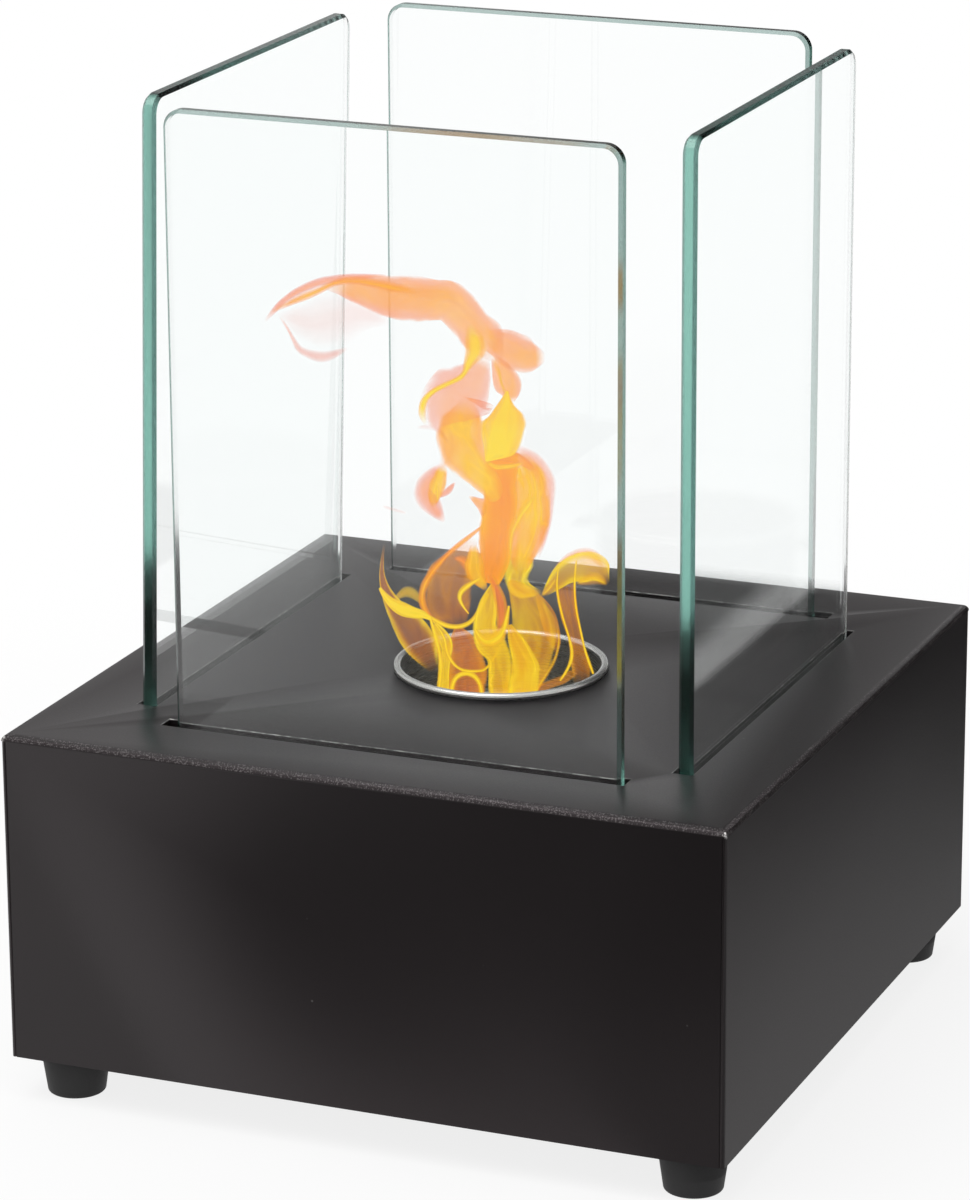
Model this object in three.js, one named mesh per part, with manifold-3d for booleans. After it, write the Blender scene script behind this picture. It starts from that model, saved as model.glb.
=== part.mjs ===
// Table-top bioethanol fireplace.
//
// A folded, powder-coated steel housing stands on four rubber feet. Its top plate has one slot along
// each side, and a loose tempered glass pane stands in each slot, in a channel welded under the plate.
// The stainless burner cup hangs by its rolled rim in a hole in the middle of the plate. Inside the cup
// a ceramic wool pad soaks up the fuel, and a perforated disc and a snap ring hold the pad down.
//
// Millimetres, +Z up, +Y to the back. The origin is on the table, under the middle of the housing.

import * as THREE from "three";
import { mergeVertices } from "three/addons/utils/BufferGeometryUtils.js";
import Module from "manifold-3d";

const wasm = await Module();
wasm.setup();

// ---------------------------------------------------------------- driving dimensions

// Glass panes
const PANE_WIDTH = 123.6;
const PANE_HEIGHT = 190;
const PANE_THICKNESS = 4;
const PANE_CORNER_RADIUS = 5; // the two upper corners
const PANE_ARRIS = 0.4; // the ground-off edge all round
const PANE_DEPTH = 26.5; // how much of a pane stands below the top of the plate

// Slots in the top plate, one along each side
const SLOT_SIDE_PLAY = 0.7; // between a pane and each long side of its slot
const SLOT_END_PLAY = 2.7; // between a pane in mid slot and each end
const SLOT_CORNER_SPACING = 10.7; // from a slot's end to its neighbour's centre line
const SLOT_SETBACK = 24.8; // from a slot's centre line to the outside of the housing

// Housing, folded from one sheet
const HOUSING_HEIGHT = 90;
const SHEET = 1.2;
const BEND_RADIUS = 0.8; // inside radius along the four top edges
const FLANGE_WIDTH = 20; // return flange at the foot of each wall
const SEAM_WIDTH = 0.35; // fine groove beside each upright corner, where two walls are welded
const SEAM_DEPTH = 0.3;

// Bottom cover, under the return flanges
const COVER_THICKNESS = 1;
const COVER_INSET = 6;

// Channels under the slots, folded to a hat section
const CHANNEL_SHEET = 1;
const CHANNEL_LIP = 4.5; // the welded lip on each side
const CHANNEL_OVERLENGTH = 1.5; // past each end of the slot
const PAD_THICKNESS = 1.5; // silicone strip that the pane stands on
const PAD_SIDE_GAP = 0.3;

// Burner cup
const CUP_RADIUS = 26.9; // inside
const CUP_SHEET = 0.6;
const CUP_DEPTH = 52; // from the top of the plate to the underside of the cup
const CUP_CORNER_RADIUS = 3.4; // inside radius between wall and bottom
const RIM_CURL_RADIUS = 0.45; // inside radius of the rolled rim
const RIM_TURN = 300; // degrees of the roll
const HOLE_CLEARANCE = 0.3; // between the cup and the hole in the plate

// What the cup holds
const WOOL_HEIGHT = 34;
const WOOL_EDGE_RADIUS = 3;
const WOOL_GAP = 0.4; // to the cup's wall
const DISC_THICKNESS = 0.8;
const DISC_GAP = 0.4; // to the cup's wall
const DISC_HOLE_RADIUS = 1.5;
const DISC_HOLE_PITCH = 5;
const DISC_BORDER = 2.2; // unpierced ring round the disc
const RING_WIRE_RADIUS = 0.7;
const RING_OPENING = 24; // degrees left open in the snap ring

// Feet
const FOOT_HEIGHT = 11;
const FOOT_TOP_RADIUS = 9.5;
const FOOT_BOTTOM_RADIUS = 7.8;
const FOOT_EDGE_RADIUS = 0.8;
const FOOT_INSET = 12.6; // from the foot's axis to both outsides of the housing
const FOOT_BORE_DEPTH = 5.5; // counterbore for the washer and the screw's head

// Foot fasteners, M4
const SCREW_RADIUS = 2;
const SCREW_HEAD_RADIUS = 3.8;
const SCREW_HEAD_HEIGHT = 2.6;
const SCREW_PAST_NUT = 1;
const RECESS_WIDTH = 1; // cross recess
const RECESS_SPAN = 4.4;
const RECESS_DEPTH = 1.6;
const WASHER_RADIUS = 4;
const WASHER_THICKNESS = 0.8;
const NUT_ACROSS_FLATS = 7;
const NUT_HEIGHT = 3.2;
const BORE_CLEARANCE = 0.2; // round the screw's shank
const HEAD_CLEARANCE = 0.5; // round the washer, in the foot

// Clearances
const FACE_GAP = 0.05; // between faces that are welded, clamped or laid together
const REST_GAP = 0.35; // between a loose pane and the slot where it has slid or leant to its limit

const ROUND = 48; // facets round the cup and the hole
const SMALL_ROUND = 24; // facets round feet and fasteners
const CORNER_STEPS = 6; // facets in a quarter round
const RIM_STEPS = 14; // facets round the outside of the rolled rim

// ---------------------------------------------------------------- derived places

const slotWidth = PANE_THICKNESS + 2 * SLOT_SIDE_PLAY;
const slotLength = PANE_WIDTH + 2 * SLOT_END_PLAY;
const slotOffset = slotLength / 2 + SLOT_CORNER_SPACING;
const housingWidth = 2 * (slotOffset + SLOT_SETBACK);
const paneSlide = SLOT_END_PLAY - REST_GAP;
const paneLean = Math.atan((2 * (SLOT_SIDE_PLAY - REST_GAP)) / PANE_DEPTH);

const coverBottom = FOOT_HEIGHT + FACE_GAP;
const housingBottom = coverBottom + COVER_THICKNESS + FACE_GAP;
const plateTop = housingBottom + HOUSING_HEIGHT;
const plateUnderside = plateTop - SHEET;
const flangeTop = housingBottom + SHEET;
const bendOutside = BEND_RADIUS + SHEET;

const paneBottom = plateTop - PANE_DEPTH;
const padTop = paneBottom - FACE_GAP;
const channelFloor = padTop - PAD_THICKNESS - FACE_GAP;
const channelTop = plateUnderside - FACE_GAP;
const channelLength = slotLength + 2 * CHANNEL_OVERLENGTH;

const cupOutside = CUP_RADIUS + CUP_SHEET;
const cupBottom = plateTop - CUP_DEPTH;
const cupFloor = cupBottom + CUP_SHEET;
const rimRadius = RIM_CURL_RADIUS + CUP_SHEET;
const rimCentreRadius = CUP_RADIUS + rimRadius;
const rimCentreHeight = plateTop + FACE_GAP + rimRadius;
const holeRadius = cupOutside + HOLE_CLEARANCE;

const woolTop = cupFloor + FACE_GAP + WOOL_HEIGHT;
const discBottom = woolTop + FACE_GAP;
const ringHeight = discBottom + DISC_THICKNESS + FACE_GAP + RING_WIRE_RADIUS;

const footOffset = housingWidth / 2 - FOOT_INSET;
const boreRadius = SCREW_RADIUS + BORE_CLEARANCE;
const washerTop = FOOT_BORE_DEPTH - FACE_GAP;
const headTop = washerTop - WASHER_THICKNESS - FACE_GAP;
const nutBottom = flangeTop + FACE_GAP;
const screwTop = nutBottom + NUT_HEIGHT + SCREW_PAST_NUT;

// ---------------------------------------------------------------- finishes

const finish = {
  powderCoat: { color: 0x2f2d2d, roughness: 0.62, metalness: 0.2 },
  glass: { color: 0xbfe0d6, roughness: 0.03, metalness: 0, transparent: true, opacity: 0.3 },
  stainless: { color: 0xb9b8b4, roughness: 0.28, metalness: 1 },
  wool: { color: 0xe9e5dc, roughness: 1, metalness: 0 },
  silicone: { color: 0x1f1f20, roughness: 0.75, metalness: 0 },
  rubber: { color: 0x26262a, roughness: 0.8, metalness: 0 },
  zinc: { color: 0xa9acb0, roughness: 0.35, metalness: 1 },
};

// ---------------------------------------------------------------- shape helpers

// A closed three.js geometry as a solid that can be cut and joined.
function solid(geometry) {
  const bare = geometry.clone();
  bare.deleteAttribute("normal");
  bare.deleteAttribute("uv");
  const merged = mergeVertices(bare, 1e-4);
  const corners = merged.index.array;
  const kept = [];
  for (let i = 0; i < corners.length; i += 3) {
    const [a, b, c] = corners.slice(i, i + 3);
    if (a !== b && b !== c && c !== a) kept.push(a, b, c);
  }
  return new wasm.Manifold(
    new wasm.Mesh({
      numProp: 3,
      vertProperties: new Float32Array(merged.attributes.position.array),
      triVerts: new Uint32Array(kept),
    }),
  );
}

function geometryOf(body) {
  const mesh = body.getMesh();
  const geometry = new THREE.BufferGeometry();
  geometry.setAttribute("position", new THREE.BufferAttribute(new Float32Array(mesh.vertProperties), 3));
  geometry.setIndex(new THREE.BufferAttribute(new Uint32Array(mesh.triVerts), 1));
  geometry.computeVertexNormals();
  return geometry;
}

function box(lengthX, lengthY, bottom, top, x = 0, y = 0) {
  const geometry = new THREE.BoxGeometry(lengthX, lengthY, top - bottom);
  return geometry.translate(x, y, (bottom + top) / 2);
}

function cylinder(radius, bottom, top, facets, x = 0, y = 0) {
  const geometry = new THREE.CylinderGeometry(radius, radius, top - bottom, facets);
  return geometry.rotateX(Math.PI / 2).translate(x, y, (bottom + top) / 2);
}

// Turns a profile of [radius, height] points about the Z axis.
function turned(profile, facets) {
  const points = profile.map(([radius, height]) => new THREE.Vector2(radius, height));
  return new THREE.LatheGeometry(points, facets).rotateX(Math.PI / 2);
}

// Points along an arc in the profile plane, angles in degrees.
function arc(radius, height, arcRadius, from, to, steps) {
  return Array.from({ length: steps + 1 }, (_, i) => {
    const angle = THREE.MathUtils.degToRad(from + ((to - from) * i) / steps);
    return [radius + arcRadius * Math.cos(angle), height + arcRadius * Math.sin(angle)];
  });
}

// An upright slab along Y: its section, drawn in X and Z, has both upper corners rounded.
function archedSlab(halfWidth, bottom, top, radius, length) {
  const section = new THREE.Shape();
  section.moveTo(-halfWidth, bottom);
  section.lineTo(halfWidth, bottom);
  section.lineTo(halfWidth, top - radius);
  section.absarc(halfWidth - radius, top - radius, radius, 0, Math.PI / 2, false);
  section.absarc(-halfWidth + radius, top - radius, radius, Math.PI / 2, Math.PI, false);
  const slab = new THREE.ExtrudeGeometry(section, {
    depth: length,
    bevelEnabled: false,
    curveSegments: CORNER_STEPS,
  });
  return slab.rotateX(Math.PI / 2).translate(0, length / 2, 0);
}

// A block whose four top edges are bent round, mitred where the bends meet.
function bentBlock(halfWidth, bottom, top, radius) {
  const slab = archedSlab(halfWidth, bottom, top, radius, 2 * halfWidth);
  return solid(slab).intersect(solid(slab.clone().rotateZ(Math.PI / 2)));
}

// ---------------------------------------------------------------- the four sides and corners

// Each side's own frame has the slot along X, on the front side, and is turned to its place. The panes
// stand loose: slide is how far along its slot a pane is pushed, as a share of the way to the slot's
// end, and lean is how far it leans towards the fire.
const sides = {
  front: { turn: 0, slide: 0.6, lean: 0 },
  right: { turn: Math.PI / 2, slide: -0.3, lean: 0 },
  back: { turn: Math.PI, slide: 1, lean: 0 },
  left: { turn: -Math.PI / 2, slide: 1, lean: paneLean },
};

const corners = {
  front_left: [-footOffset, -footOffset],
  front_right: [footOffset, -footOffset],
  back_left: [-footOffset, footOffset],
  back_right: [footOffset, footOffset],
};

// ---------------------------------------------------------------- housing

function housingGeometry() {
  const half = housingWidth / 2;
  const wallInside = half - SHEET;
  const flangeEdge = half - FLANGE_WIDTH;
  const below = housingBottom - 1;
  const above = plateTop + 1;

  let body = bentBlock(half, housingBottom, plateTop, bendOutside);
  body = body.subtract(bentBlock(wallInside, flangeTop, plateUnderside, BEND_RADIUS));
  body = body.subtract(solid(box(2 * flangeEdge, 2 * flangeEdge, below, flangeTop + 1)));
  body = body.subtract(solid(cylinder(holeRadius, plateUnderside - 1, above, ROUND)));

  for (const { turn } of Object.values(sides)) {
    const slot = box(slotLength, slotWidth, plateUnderside - 1, above, 0, -slotOffset);
    body = body.subtract(solid(slot.rotateZ(turn)));
  }
  for (const [x, y] of Object.values(corners)) {
    body = body.subtract(solid(cylinder(boreRadius, below, flangeTop + 1, SMALL_ROUND, x, y)));
  }
  // The front and back walls lie between the side walls, whose edges show beside the seams.
  for (const [x, y] of Object.values(corners)) {
    const groove = box(SEAM_WIDTH, 2 * SEAM_DEPTH, below, plateTop - bendOutside);
    groove.translate(Math.sign(x) * wallInside, Math.sign(y) * half, 0);
    body = body.subtract(solid(groove));
  }
  return geometryOf(body);
}

function coverGeometry() {
  const width = housingWidth - 2 * COVER_INSET;
  let plate = solid(box(width, width, coverBottom, coverBottom + COVER_THICKNESS));
  for (const [x, y] of Object.values(corners)) {
    plate = plate.subtract(solid(cylinder(boreRadius, 0, plateTop, SMALL_ROUND, x, y)));
  }
  return geometryOf(plate);
}

// ---------------------------------------------------------------- glass, channels and pads

// The outline runs up from the bottom edge, and only its upper corners are rounded.
function paneGeometry() {
  const half = PANE_WIDTH / 2;
  const radius = PANE_CORNER_RADIUS;
  const outline = new THREE.Shape();
  outline.moveTo(-half, 0);
  outline.lineTo(half, 0);
  outline.lineTo(half, PANE_HEIGHT - radius);
  outline.absarc(half - radius, PANE_HEIGHT - radius, radius, 0, Math.PI / 2, false);
  outline.absarc(-half + radius, PANE_HEIGHT - radius, radius, Math.PI / 2, Math.PI, false);
  const slab = new THREE.ExtrudeGeometry(outline, {
    depth: PANE_THICKNESS - 2 * PANE_ARRIS,
    bevelThickness: PANE_ARRIS,
    bevelSize: PANE_ARRIS,
    bevelOffset: -PANE_ARRIS,
    bevelSegments: 1,
    curveSegments: CORNER_STEPS,
  });
  return slab.rotateX(Math.PI / 2).translate(0, PANE_THICKNESS / 2 - PANE_ARRIS, 0);
}

// Hat section: two lips against the plate, two walls and a floor.
function channelGeometry() {
  const inside = slotWidth / 2;
  const outside = inside + CHANNEL_SHEET;
  const lip = outside + CHANNEL_LIP;
  const bottom = channelFloor - CHANNEL_SHEET;
  const lipUnderside = channelTop - CHANNEL_SHEET;
  const section = new THREE.Shape(
    [
      [-lip, channelTop],
      [-lip, lipUnderside],
      [-outside, lipUnderside],
      [-outside, bottom],
      [outside, bottom],
      [outside, lipUnderside],
      [lip, lipUnderside],
      [lip, channelTop],
      [inside, channelTop],
      [inside, channelFloor],
      [-inside, channelFloor],
      [-inside, channelTop],
    ].map(([across, height]) => new THREE.Vector2(across, height)),
  );
  const bar = new THREE.ExtrudeGeometry(section, { depth: channelLength, bevelEnabled: false });
  // Drawn across and up, pulled along: turned so that up is Z and along is X.
  return bar.rotateX(Math.PI / 2).rotateZ(Math.PI / 2).translate(-channelLength / 2, 0, 0);
}

function padGeometry() {
  return box(channelLength, slotWidth - 2 * PAD_SIDE_GAP, padTop - PAD_THICKNESS, padTop);
}

// ---------------------------------------------------------------- burner

// A drawn cup. The profile runs up the inside, over the rolled rim and back down the outside.
function cupGeometry() {
  const cornerRadius = CUP_RADIUS - CUP_CORNER_RADIUS;
  const cornerHeight = cupFloor + CUP_CORNER_RADIUS;
  const rollEnd = 180 - RIM_TURN;
  const insideCorner = arc(cornerRadius, cornerHeight, CUP_CORNER_RADIUS, -90, 0, 4);
  const outsideCorner = arc(cornerRadius, cornerHeight, CUP_CORNER_RADIUS + CUP_SHEET, 0, -90, 4);
  const rollOver = arc(rimCentreRadius, rimCentreHeight, rimRadius, 180, rollEnd, RIM_STEPS);
  const rollUnder = arc(rimCentreRadius, rimCentreHeight, RIM_CURL_RADIUS, rollEnd, 180, RIM_STEPS - 4);
  const profile = [
    [0, cupFloor],
    ...insideCorner,
    ...rollOver,
    ...rollUnder,
    ...outsideCorner,
    [0, cupBottom],
  ];
  return turned(profile.reverse(), ROUND);
}

function woolGeometry() {
  const radius = CUP_RADIUS - WOOL_GAP;
  const bottom = cupFloor + FACE_GAP;
  const edge = WOOL_EDGE_RADIUS;
  const profile = [
    [0, bottom],
    ...arc(radius - edge, bottom + edge, edge, -90, 0, 2),
    ...arc(radius - edge, woolTop - edge, edge, 0, 90, 2),
    [0, woolTop],
  ];
  return turned(profile, ROUND);
}

// A pierced disc: holes in rows, each row half a pitch from the next.
function discGeometry() {
  const radius = CUP_RADIUS - DISC_GAP;
  const reach = radius - DISC_BORDER - DISC_HOLE_RADIUS;
  const rowHeight = (DISC_HOLE_PITCH * Math.sqrt(3)) / 2;
  const rows = Math.floor(reach / rowHeight);
  const outline = new THREE.Shape();
  outline.absarc(0, 0, radius, 0, 2 * Math.PI, false);
  for (let row = -rows; row <= rows; row += 1) {
    const y = row * rowHeight;
    const shift = row % 2 === 0 ? 0 : DISC_HOLE_PITCH / 2;
    const count = Math.ceil(reach / DISC_HOLE_PITCH);
    for (let i = -count; i <= count; i += 1) {
      const x = i * DISC_HOLE_PITCH + shift;
      if (Math.hypot(x, y) > reach) continue;
      const hexagon = Array.from({ length: 6 }, (_, k) => {
        const spoke = new THREE.Vector2(DISC_HOLE_RADIUS, 0);
        spoke.rotateAround(new THREE.Vector2(), (-k * Math.PI) / 3);
        return spoke.add(new THREE.Vector2(x, y));
      });
      outline.holes.push(new THREE.Path(hexagon));
    }
  }
  const plate = new THREE.ExtrudeGeometry(outline, {
    depth: DISC_THICKNESS,
    bevelEnabled: false,
    curveSegments: ROUND / 2,
  });
  return plate.translate(0, 0, discBottom);
}

// An open ring of spring wire, sprung out against the cup's wall just over the disc.
function ringGeometry() {
  const radius = CUP_RADIUS - RING_WIRE_RADIUS - FACE_GAP;
  const open = THREE.MathUtils.degToRad(RING_OPENING);
  const start = -Math.PI / 2 + open / 2;
  const sweep = 2 * Math.PI - open;
  class RingPath extends THREE.Curve {
    getPoint(t, target = new THREE.Vector3()) {
      const angle = start + sweep * t;
      return target.set(radius * Math.cos(angle), radius * Math.sin(angle), ringHeight);
    }
  }
  const section = new THREE.Shape();
  section.absarc(0, 0, RING_WIRE_RADIUS, 0, 2 * Math.PI, false);
  return new THREE.ExtrudeGeometry(section, {
    steps: ROUND,
    curveSegments: 5,
    bevelEnabled: false,
    extrudePath: new RingPath(),
  });
}

// ---------------------------------------------------------------- feet and their fasteners

// A tapered rubber foot, with a counterbore from below and a hole for the screw.
function footGeometry() {
  const edge = FOOT_EDGE_RADIUS;
  const bore = WASHER_RADIUS + HEAD_CLEARANCE;
  const profile = [
    [bore, 0],
    ...arc(FOOT_BOTTOM_RADIUS - edge, edge, edge, -90, 0, 3),
    [FOOT_TOP_RADIUS, FOOT_HEIGHT],
    [boreRadius, FOOT_HEIGHT],
    [boreRadius, FOOT_BORE_DEPTH],
    [bore, FOOT_BORE_DEPTH],
    [bore, 0],
  ];
  return turned(profile, SMALL_ROUND);
}

function washerGeometry() {
  const bottom = washerTop - WASHER_THICKNESS;
  const profile = [
    [boreRadius, bottom],
    [WASHER_RADIUS, bottom],
    [WASHER_RADIUS, washerTop],
    [boreRadius, washerTop],
    [boreRadius, bottom],
  ];
  return turned(profile, SMALL_ROUND);
}

// A pan-head screw, head down, with a cross recess.
function screwGeometry() {
  const headBottom = headTop - SCREW_HEAD_HEIGHT;
  const domeEdge = headBottom + SCREW_HEAD_HEIGHT / 2;
  const profile = [
    [0, headBottom],
    [SCREW_HEAD_RADIUS * 0.55, headBottom],
    [SCREW_HEAD_RADIUS * 0.85, headBottom + (domeEdge - headBottom) * 0.35],
    [SCREW_HEAD_RADIUS, domeEdge],
    [SCREW_HEAD_RADIUS, headTop],
    [SCREW_RADIUS, headTop],
    [SCREW_RADIUS, screwTop - SCREW_RADIUS / 4],
    [SCREW_RADIUS * 0.75, screwTop],
    [0, screwTop],
  ];
  const recess = box(RECESS_SPAN, RECESS_WIDTH, headBottom - 1, headBottom + RECESS_DEPTH);
  const body = solid(turned(profile, SMALL_ROUND));
  return geometryOf(body.subtract(solid(recess)).subtract(solid(recess.clone().rotateZ(Math.PI / 2))));
}

// A hexagon nut: a six-sided bar trimmed by a chamfered turning, then bored.
function nutGeometry() {
  const cornerRadius = NUT_ACROSS_FLATS / Math.sqrt(3);
  const chamfer = cornerRadius - NUT_ACROSS_FLATS / 2;
  const top = nutBottom + NUT_HEIGHT;
  const trim = [
    [0, nutBottom],
    [NUT_ACROSS_FLATS / 2, nutBottom],
    [cornerRadius, nutBottom + chamfer],
    [cornerRadius, top - chamfer],
    [NUT_ACROSS_FLATS / 2, top],
    [0, top],
  ];
  const bar = solid(cylinder(cornerRadius, nutBottom, top, 6));
  const blank = bar.intersect(solid(turned(trim, SMALL_ROUND)));
  return geometryOf(blank.subtract(solid(cylinder(boreRadius, nutBottom - 1, top + 1, SMALL_ROUND))));
}

// ---------------------------------------------------------------- assembly

const fireplace = new THREE.Group();

function addMesh(parent, name, geometry, look) {
  const mesh = new THREE.Mesh(geometry, new THREE.MeshStandardMaterial(look));
  mesh.name = name;
  parent.add(mesh);
  return mesh;
}

addMesh(fireplace, "housing", housingGeometry(), finish.powderCoat);
addMesh(fireplace, "bottom_cover", coverGeometry(), finish.powderCoat);

for (const [side, { turn, slide, lean }] of Object.entries(sides)) {
  const frame = new THREE.Group();
  frame.rotation.z = turn;
  fireplace.add(frame);
  addMesh(frame, `glass_channel_${side}`, channelGeometry(), finish.powderCoat).position.y = -slotOffset;
  addMesh(frame, `seat_pad_${side}`, padGeometry(), finish.silicone).position.y = -slotOffset;
  const pane = addMesh(frame, `glass_pane_${side}`, paneGeometry(), finish.glass);
  // A leaning pane's foot stands out as far as its middle, at the slot, leans in.
  pane.rotation.x = -lean;
  pane.position.x = slide * paneSlide;
  pane.position.y = -slotOffset - (Math.tan(lean) * PANE_DEPTH) / 2;
  pane.position.z = paneBottom + (Math.sin(lean) * PANE_THICKNESS) / 2;
}

addMesh(fireplace, "burner_cup", cupGeometry(), finish.stainless);
addMesh(fireplace, "ceramic_wool", woolGeometry(), finish.wool);
addMesh(fireplace, "perforated_disc", discGeometry(), finish.stainless);
addMesh(fireplace, "snap_ring", ringGeometry(), finish.stainless);

for (const [corner, [x, y]] of Object.entries(corners)) {
  const frame = new THREE.Group();
  frame.position.set(x, y, 0);
  fireplace.add(frame);
  addMesh(frame, `foot_${corner}`, footGeometry(), finish.rubber);
  addMesh(frame, `foot_washer_${corner}`, washerGeometry(), finish.zinc);
  addMesh(frame, `foot_screw_${corner}`, screwGeometry(), finish.zinc);
  addMesh(frame, `foot_nut_${corner}`, nutGeometry(), finish.zinc);
}

export default fireplace;
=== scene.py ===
import bpy
from math import atan2, cos, pi, radians, sin
from mathutils import Matrix, Vector, noise


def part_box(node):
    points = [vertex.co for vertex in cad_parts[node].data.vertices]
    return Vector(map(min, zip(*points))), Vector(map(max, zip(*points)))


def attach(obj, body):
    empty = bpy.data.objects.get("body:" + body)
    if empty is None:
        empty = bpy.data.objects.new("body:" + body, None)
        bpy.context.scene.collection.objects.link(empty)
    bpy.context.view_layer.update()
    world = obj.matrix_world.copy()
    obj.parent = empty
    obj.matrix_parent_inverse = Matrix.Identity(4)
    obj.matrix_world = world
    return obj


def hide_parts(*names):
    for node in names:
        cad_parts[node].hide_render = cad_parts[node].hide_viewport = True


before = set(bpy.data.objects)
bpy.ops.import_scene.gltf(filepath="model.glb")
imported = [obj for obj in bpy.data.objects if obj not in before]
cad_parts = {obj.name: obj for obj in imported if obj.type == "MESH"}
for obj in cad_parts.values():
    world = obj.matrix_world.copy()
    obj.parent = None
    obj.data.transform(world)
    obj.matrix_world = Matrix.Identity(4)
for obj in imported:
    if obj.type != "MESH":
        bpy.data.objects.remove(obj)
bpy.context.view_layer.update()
scene = bpy.context.scene
mm = 0.001
near = 0.01 * mm  # what counts as the same place

# where the CAD says things are
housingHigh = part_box("housing")[1]
cupLow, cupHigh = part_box("burner_cup")
plateTop = housingHigh.z
sides = ("front", "right", "back", "left")
corners = ("front_left", "front_right", "back_left", "back_right")

# camera, at the photo's place

cameraView = {
    "place": (0.49207, -1.20233, 0.5275),
    "azimuth": 22.469,
    "elevation": 17.379,
    "roll": -0.312,
    "focalPixels": 5071.65,  # for a picture 1200 pixels high
    "imageHeight": 1200,
    "sensor": 36,
    "clip": (0.05, 50),
}


def aimedMatrix(place, azimuth, elevation, roll):
    a, e, r = radians(azimuth), radians(elevation), radians(roll)
    right = Vector((cos(a), sin(a), 0))
    back = Vector((sin(a) * cos(e), -cos(a) * cos(e), sin(e)))
    up = back.cross(right)
    rolledRight = right * cos(r) + up * sin(r)
    rolledUp = up * cos(r) - right * sin(r)
    turn = Matrix((rolledRight, rolledUp, back)).transposed().to_4x4()
    return Matrix.Translation(place) @ turn


def addCamera(view):
    data = bpy.data.cameras.new("photoCamera")
    data.sensor_width = view["sensor"]
    data.lens = view["focalPixels"] * view["sensor"] / view["imageHeight"]
    data.clip_start, data.clip_end = view["clip"]
    camera = bpy.data.objects.new("photoCamera", data)
    scene.collection.objects.link(camera)
    camera.matrix_world = aimedMatrix(view["place"], view["azimuth"], view["elevation"], view["roll"])
    scene.camera = camera


addCamera(cameraView)
scene.view_settings.view_transform = "Standard"
scene.cycles.max_bounces = 32
scene.cycles.glossy_bounces = 24
scene.cycles.transmission_bounces = 32
scene.cycles.transparent_max_bounces = 48
print("camera set")

# node helpers


def freshMaterial(name):
    material = bpy.data.materials.new(name)
    material.use_nodes = True
    material.node_tree.nodes.clear()
    return material, material.node_tree


def feed(tree, socket, value):
    # a socket takes a plain value or a link
    if isinstance(value, bpy.types.NodeSocket):
        tree.links.new(value, socket)
    else:
        socket.default_value = value


def node(tree, kind, settings=None, **links):
    made = tree.nodes.new(kind)
    for key, value in (settings or {}).items():
        if hasattr(made, key):
            setattr(made, key, value)
        else:
            made.inputs[key].default_value = value
    for key, source in links.items():
        feed(tree, made.inputs[key.replace("_", " ")], source)
    return made


def maths(tree, operation, first, second=None, third=None, clamp=False):
    made = node(tree, "ShaderNodeMath", {"operation": operation, "use_clamp": clamp})
    for socket, value in zip(made.inputs, (first, second, third)):
        if value is not None:
            feed(tree, socket, value)
    return made.outputs[0]


def mixOf(tree, factor, first, second, kind="RGBA"):
    made = node(tree, "ShaderNodeMix", {"data_type": kind})
    for socket, value in zip([s for s in made.inputs if s.enabled], (factor, first, second)):
        feed(tree, socket, value)
    return [s for s in made.outputs if s.enabled][0]


def mixShader(tree, factor, first, second):
    made = tree.nodes.new("ShaderNodeMixShader")
    for socket, value in zip(made.inputs, (factor, first, second)):
        feed(tree, socket, value)
    return made.outputs[0]


def remap(tree, value, low, high, start=0.0, end=1.0, kind="LINEAR"):
    made = node(tree, "ShaderNodeMapRange", {"interpolation_type": kind})
    names = ("Value", "From Min", "From Max", "To Min", "To Max")
    for name, given in zip(names, (value, low, high, start, end)):
        feed(tree, made.inputs[name], given)
    return made.outputs["Result"]


def objectPlace(tree):
    return tree.nodes.new("ShaderNodeTexCoord").outputs["Object"]


def split(tree, vector):
    return node(tree, "ShaderNodeSeparateXYZ", Vector=vector).outputs


def noiseAt(tree, place, scale, detail, distortion=0.0):
    settings = {"Scale": scale, "Detail": detail, "Distortion": distortion}
    return node(tree, "ShaderNodeTexNoise", settings, Vector=place).outputs["Fac"]


def bumpOf(tree, height, strength, depth):
    return node(tree, "ShaderNodeBump", {"Strength": strength, "Distance": depth}, Height=height).outputs["Normal"]


def principled(tree, settings, **links):
    return node(tree, "ShaderNodeBsdfPrincipled", settings, **links).outputs[0]


def clearShader(tree):
    return tree.nodes.new("ShaderNodeBsdfTransparent").outputs[0]


def finish(material, tree, surface, volume=None):
    out = node(tree, "ShaderNodeOutputMaterial", Surface=surface)
    if volume is not None:
        tree.links.new(volume, out.inputs["Volume"])
    return material


def newGroup(name, inputs, outputs):
    group = bpy.data.node_groups.new(name, "ShaderNodeTree")
    for label, value in inputs.items():
        group.interface.new_socket(label, in_out="INPUT", socket_type="NodeSocketFloat").default_value = value
    for label in outputs:
        group.interface.new_socket(label, in_out="OUTPUT", socket_type="NodeSocketFloat")
    return group, group.nodes.new("NodeGroupInput").outputs, group.nodes.new("NodeGroupOutput").inputs


def useGroup(tree, group, **values):
    return node(tree, "ShaderNodeGroup", {"node_tree": group}, **values).outputs


# shared effects


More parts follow.
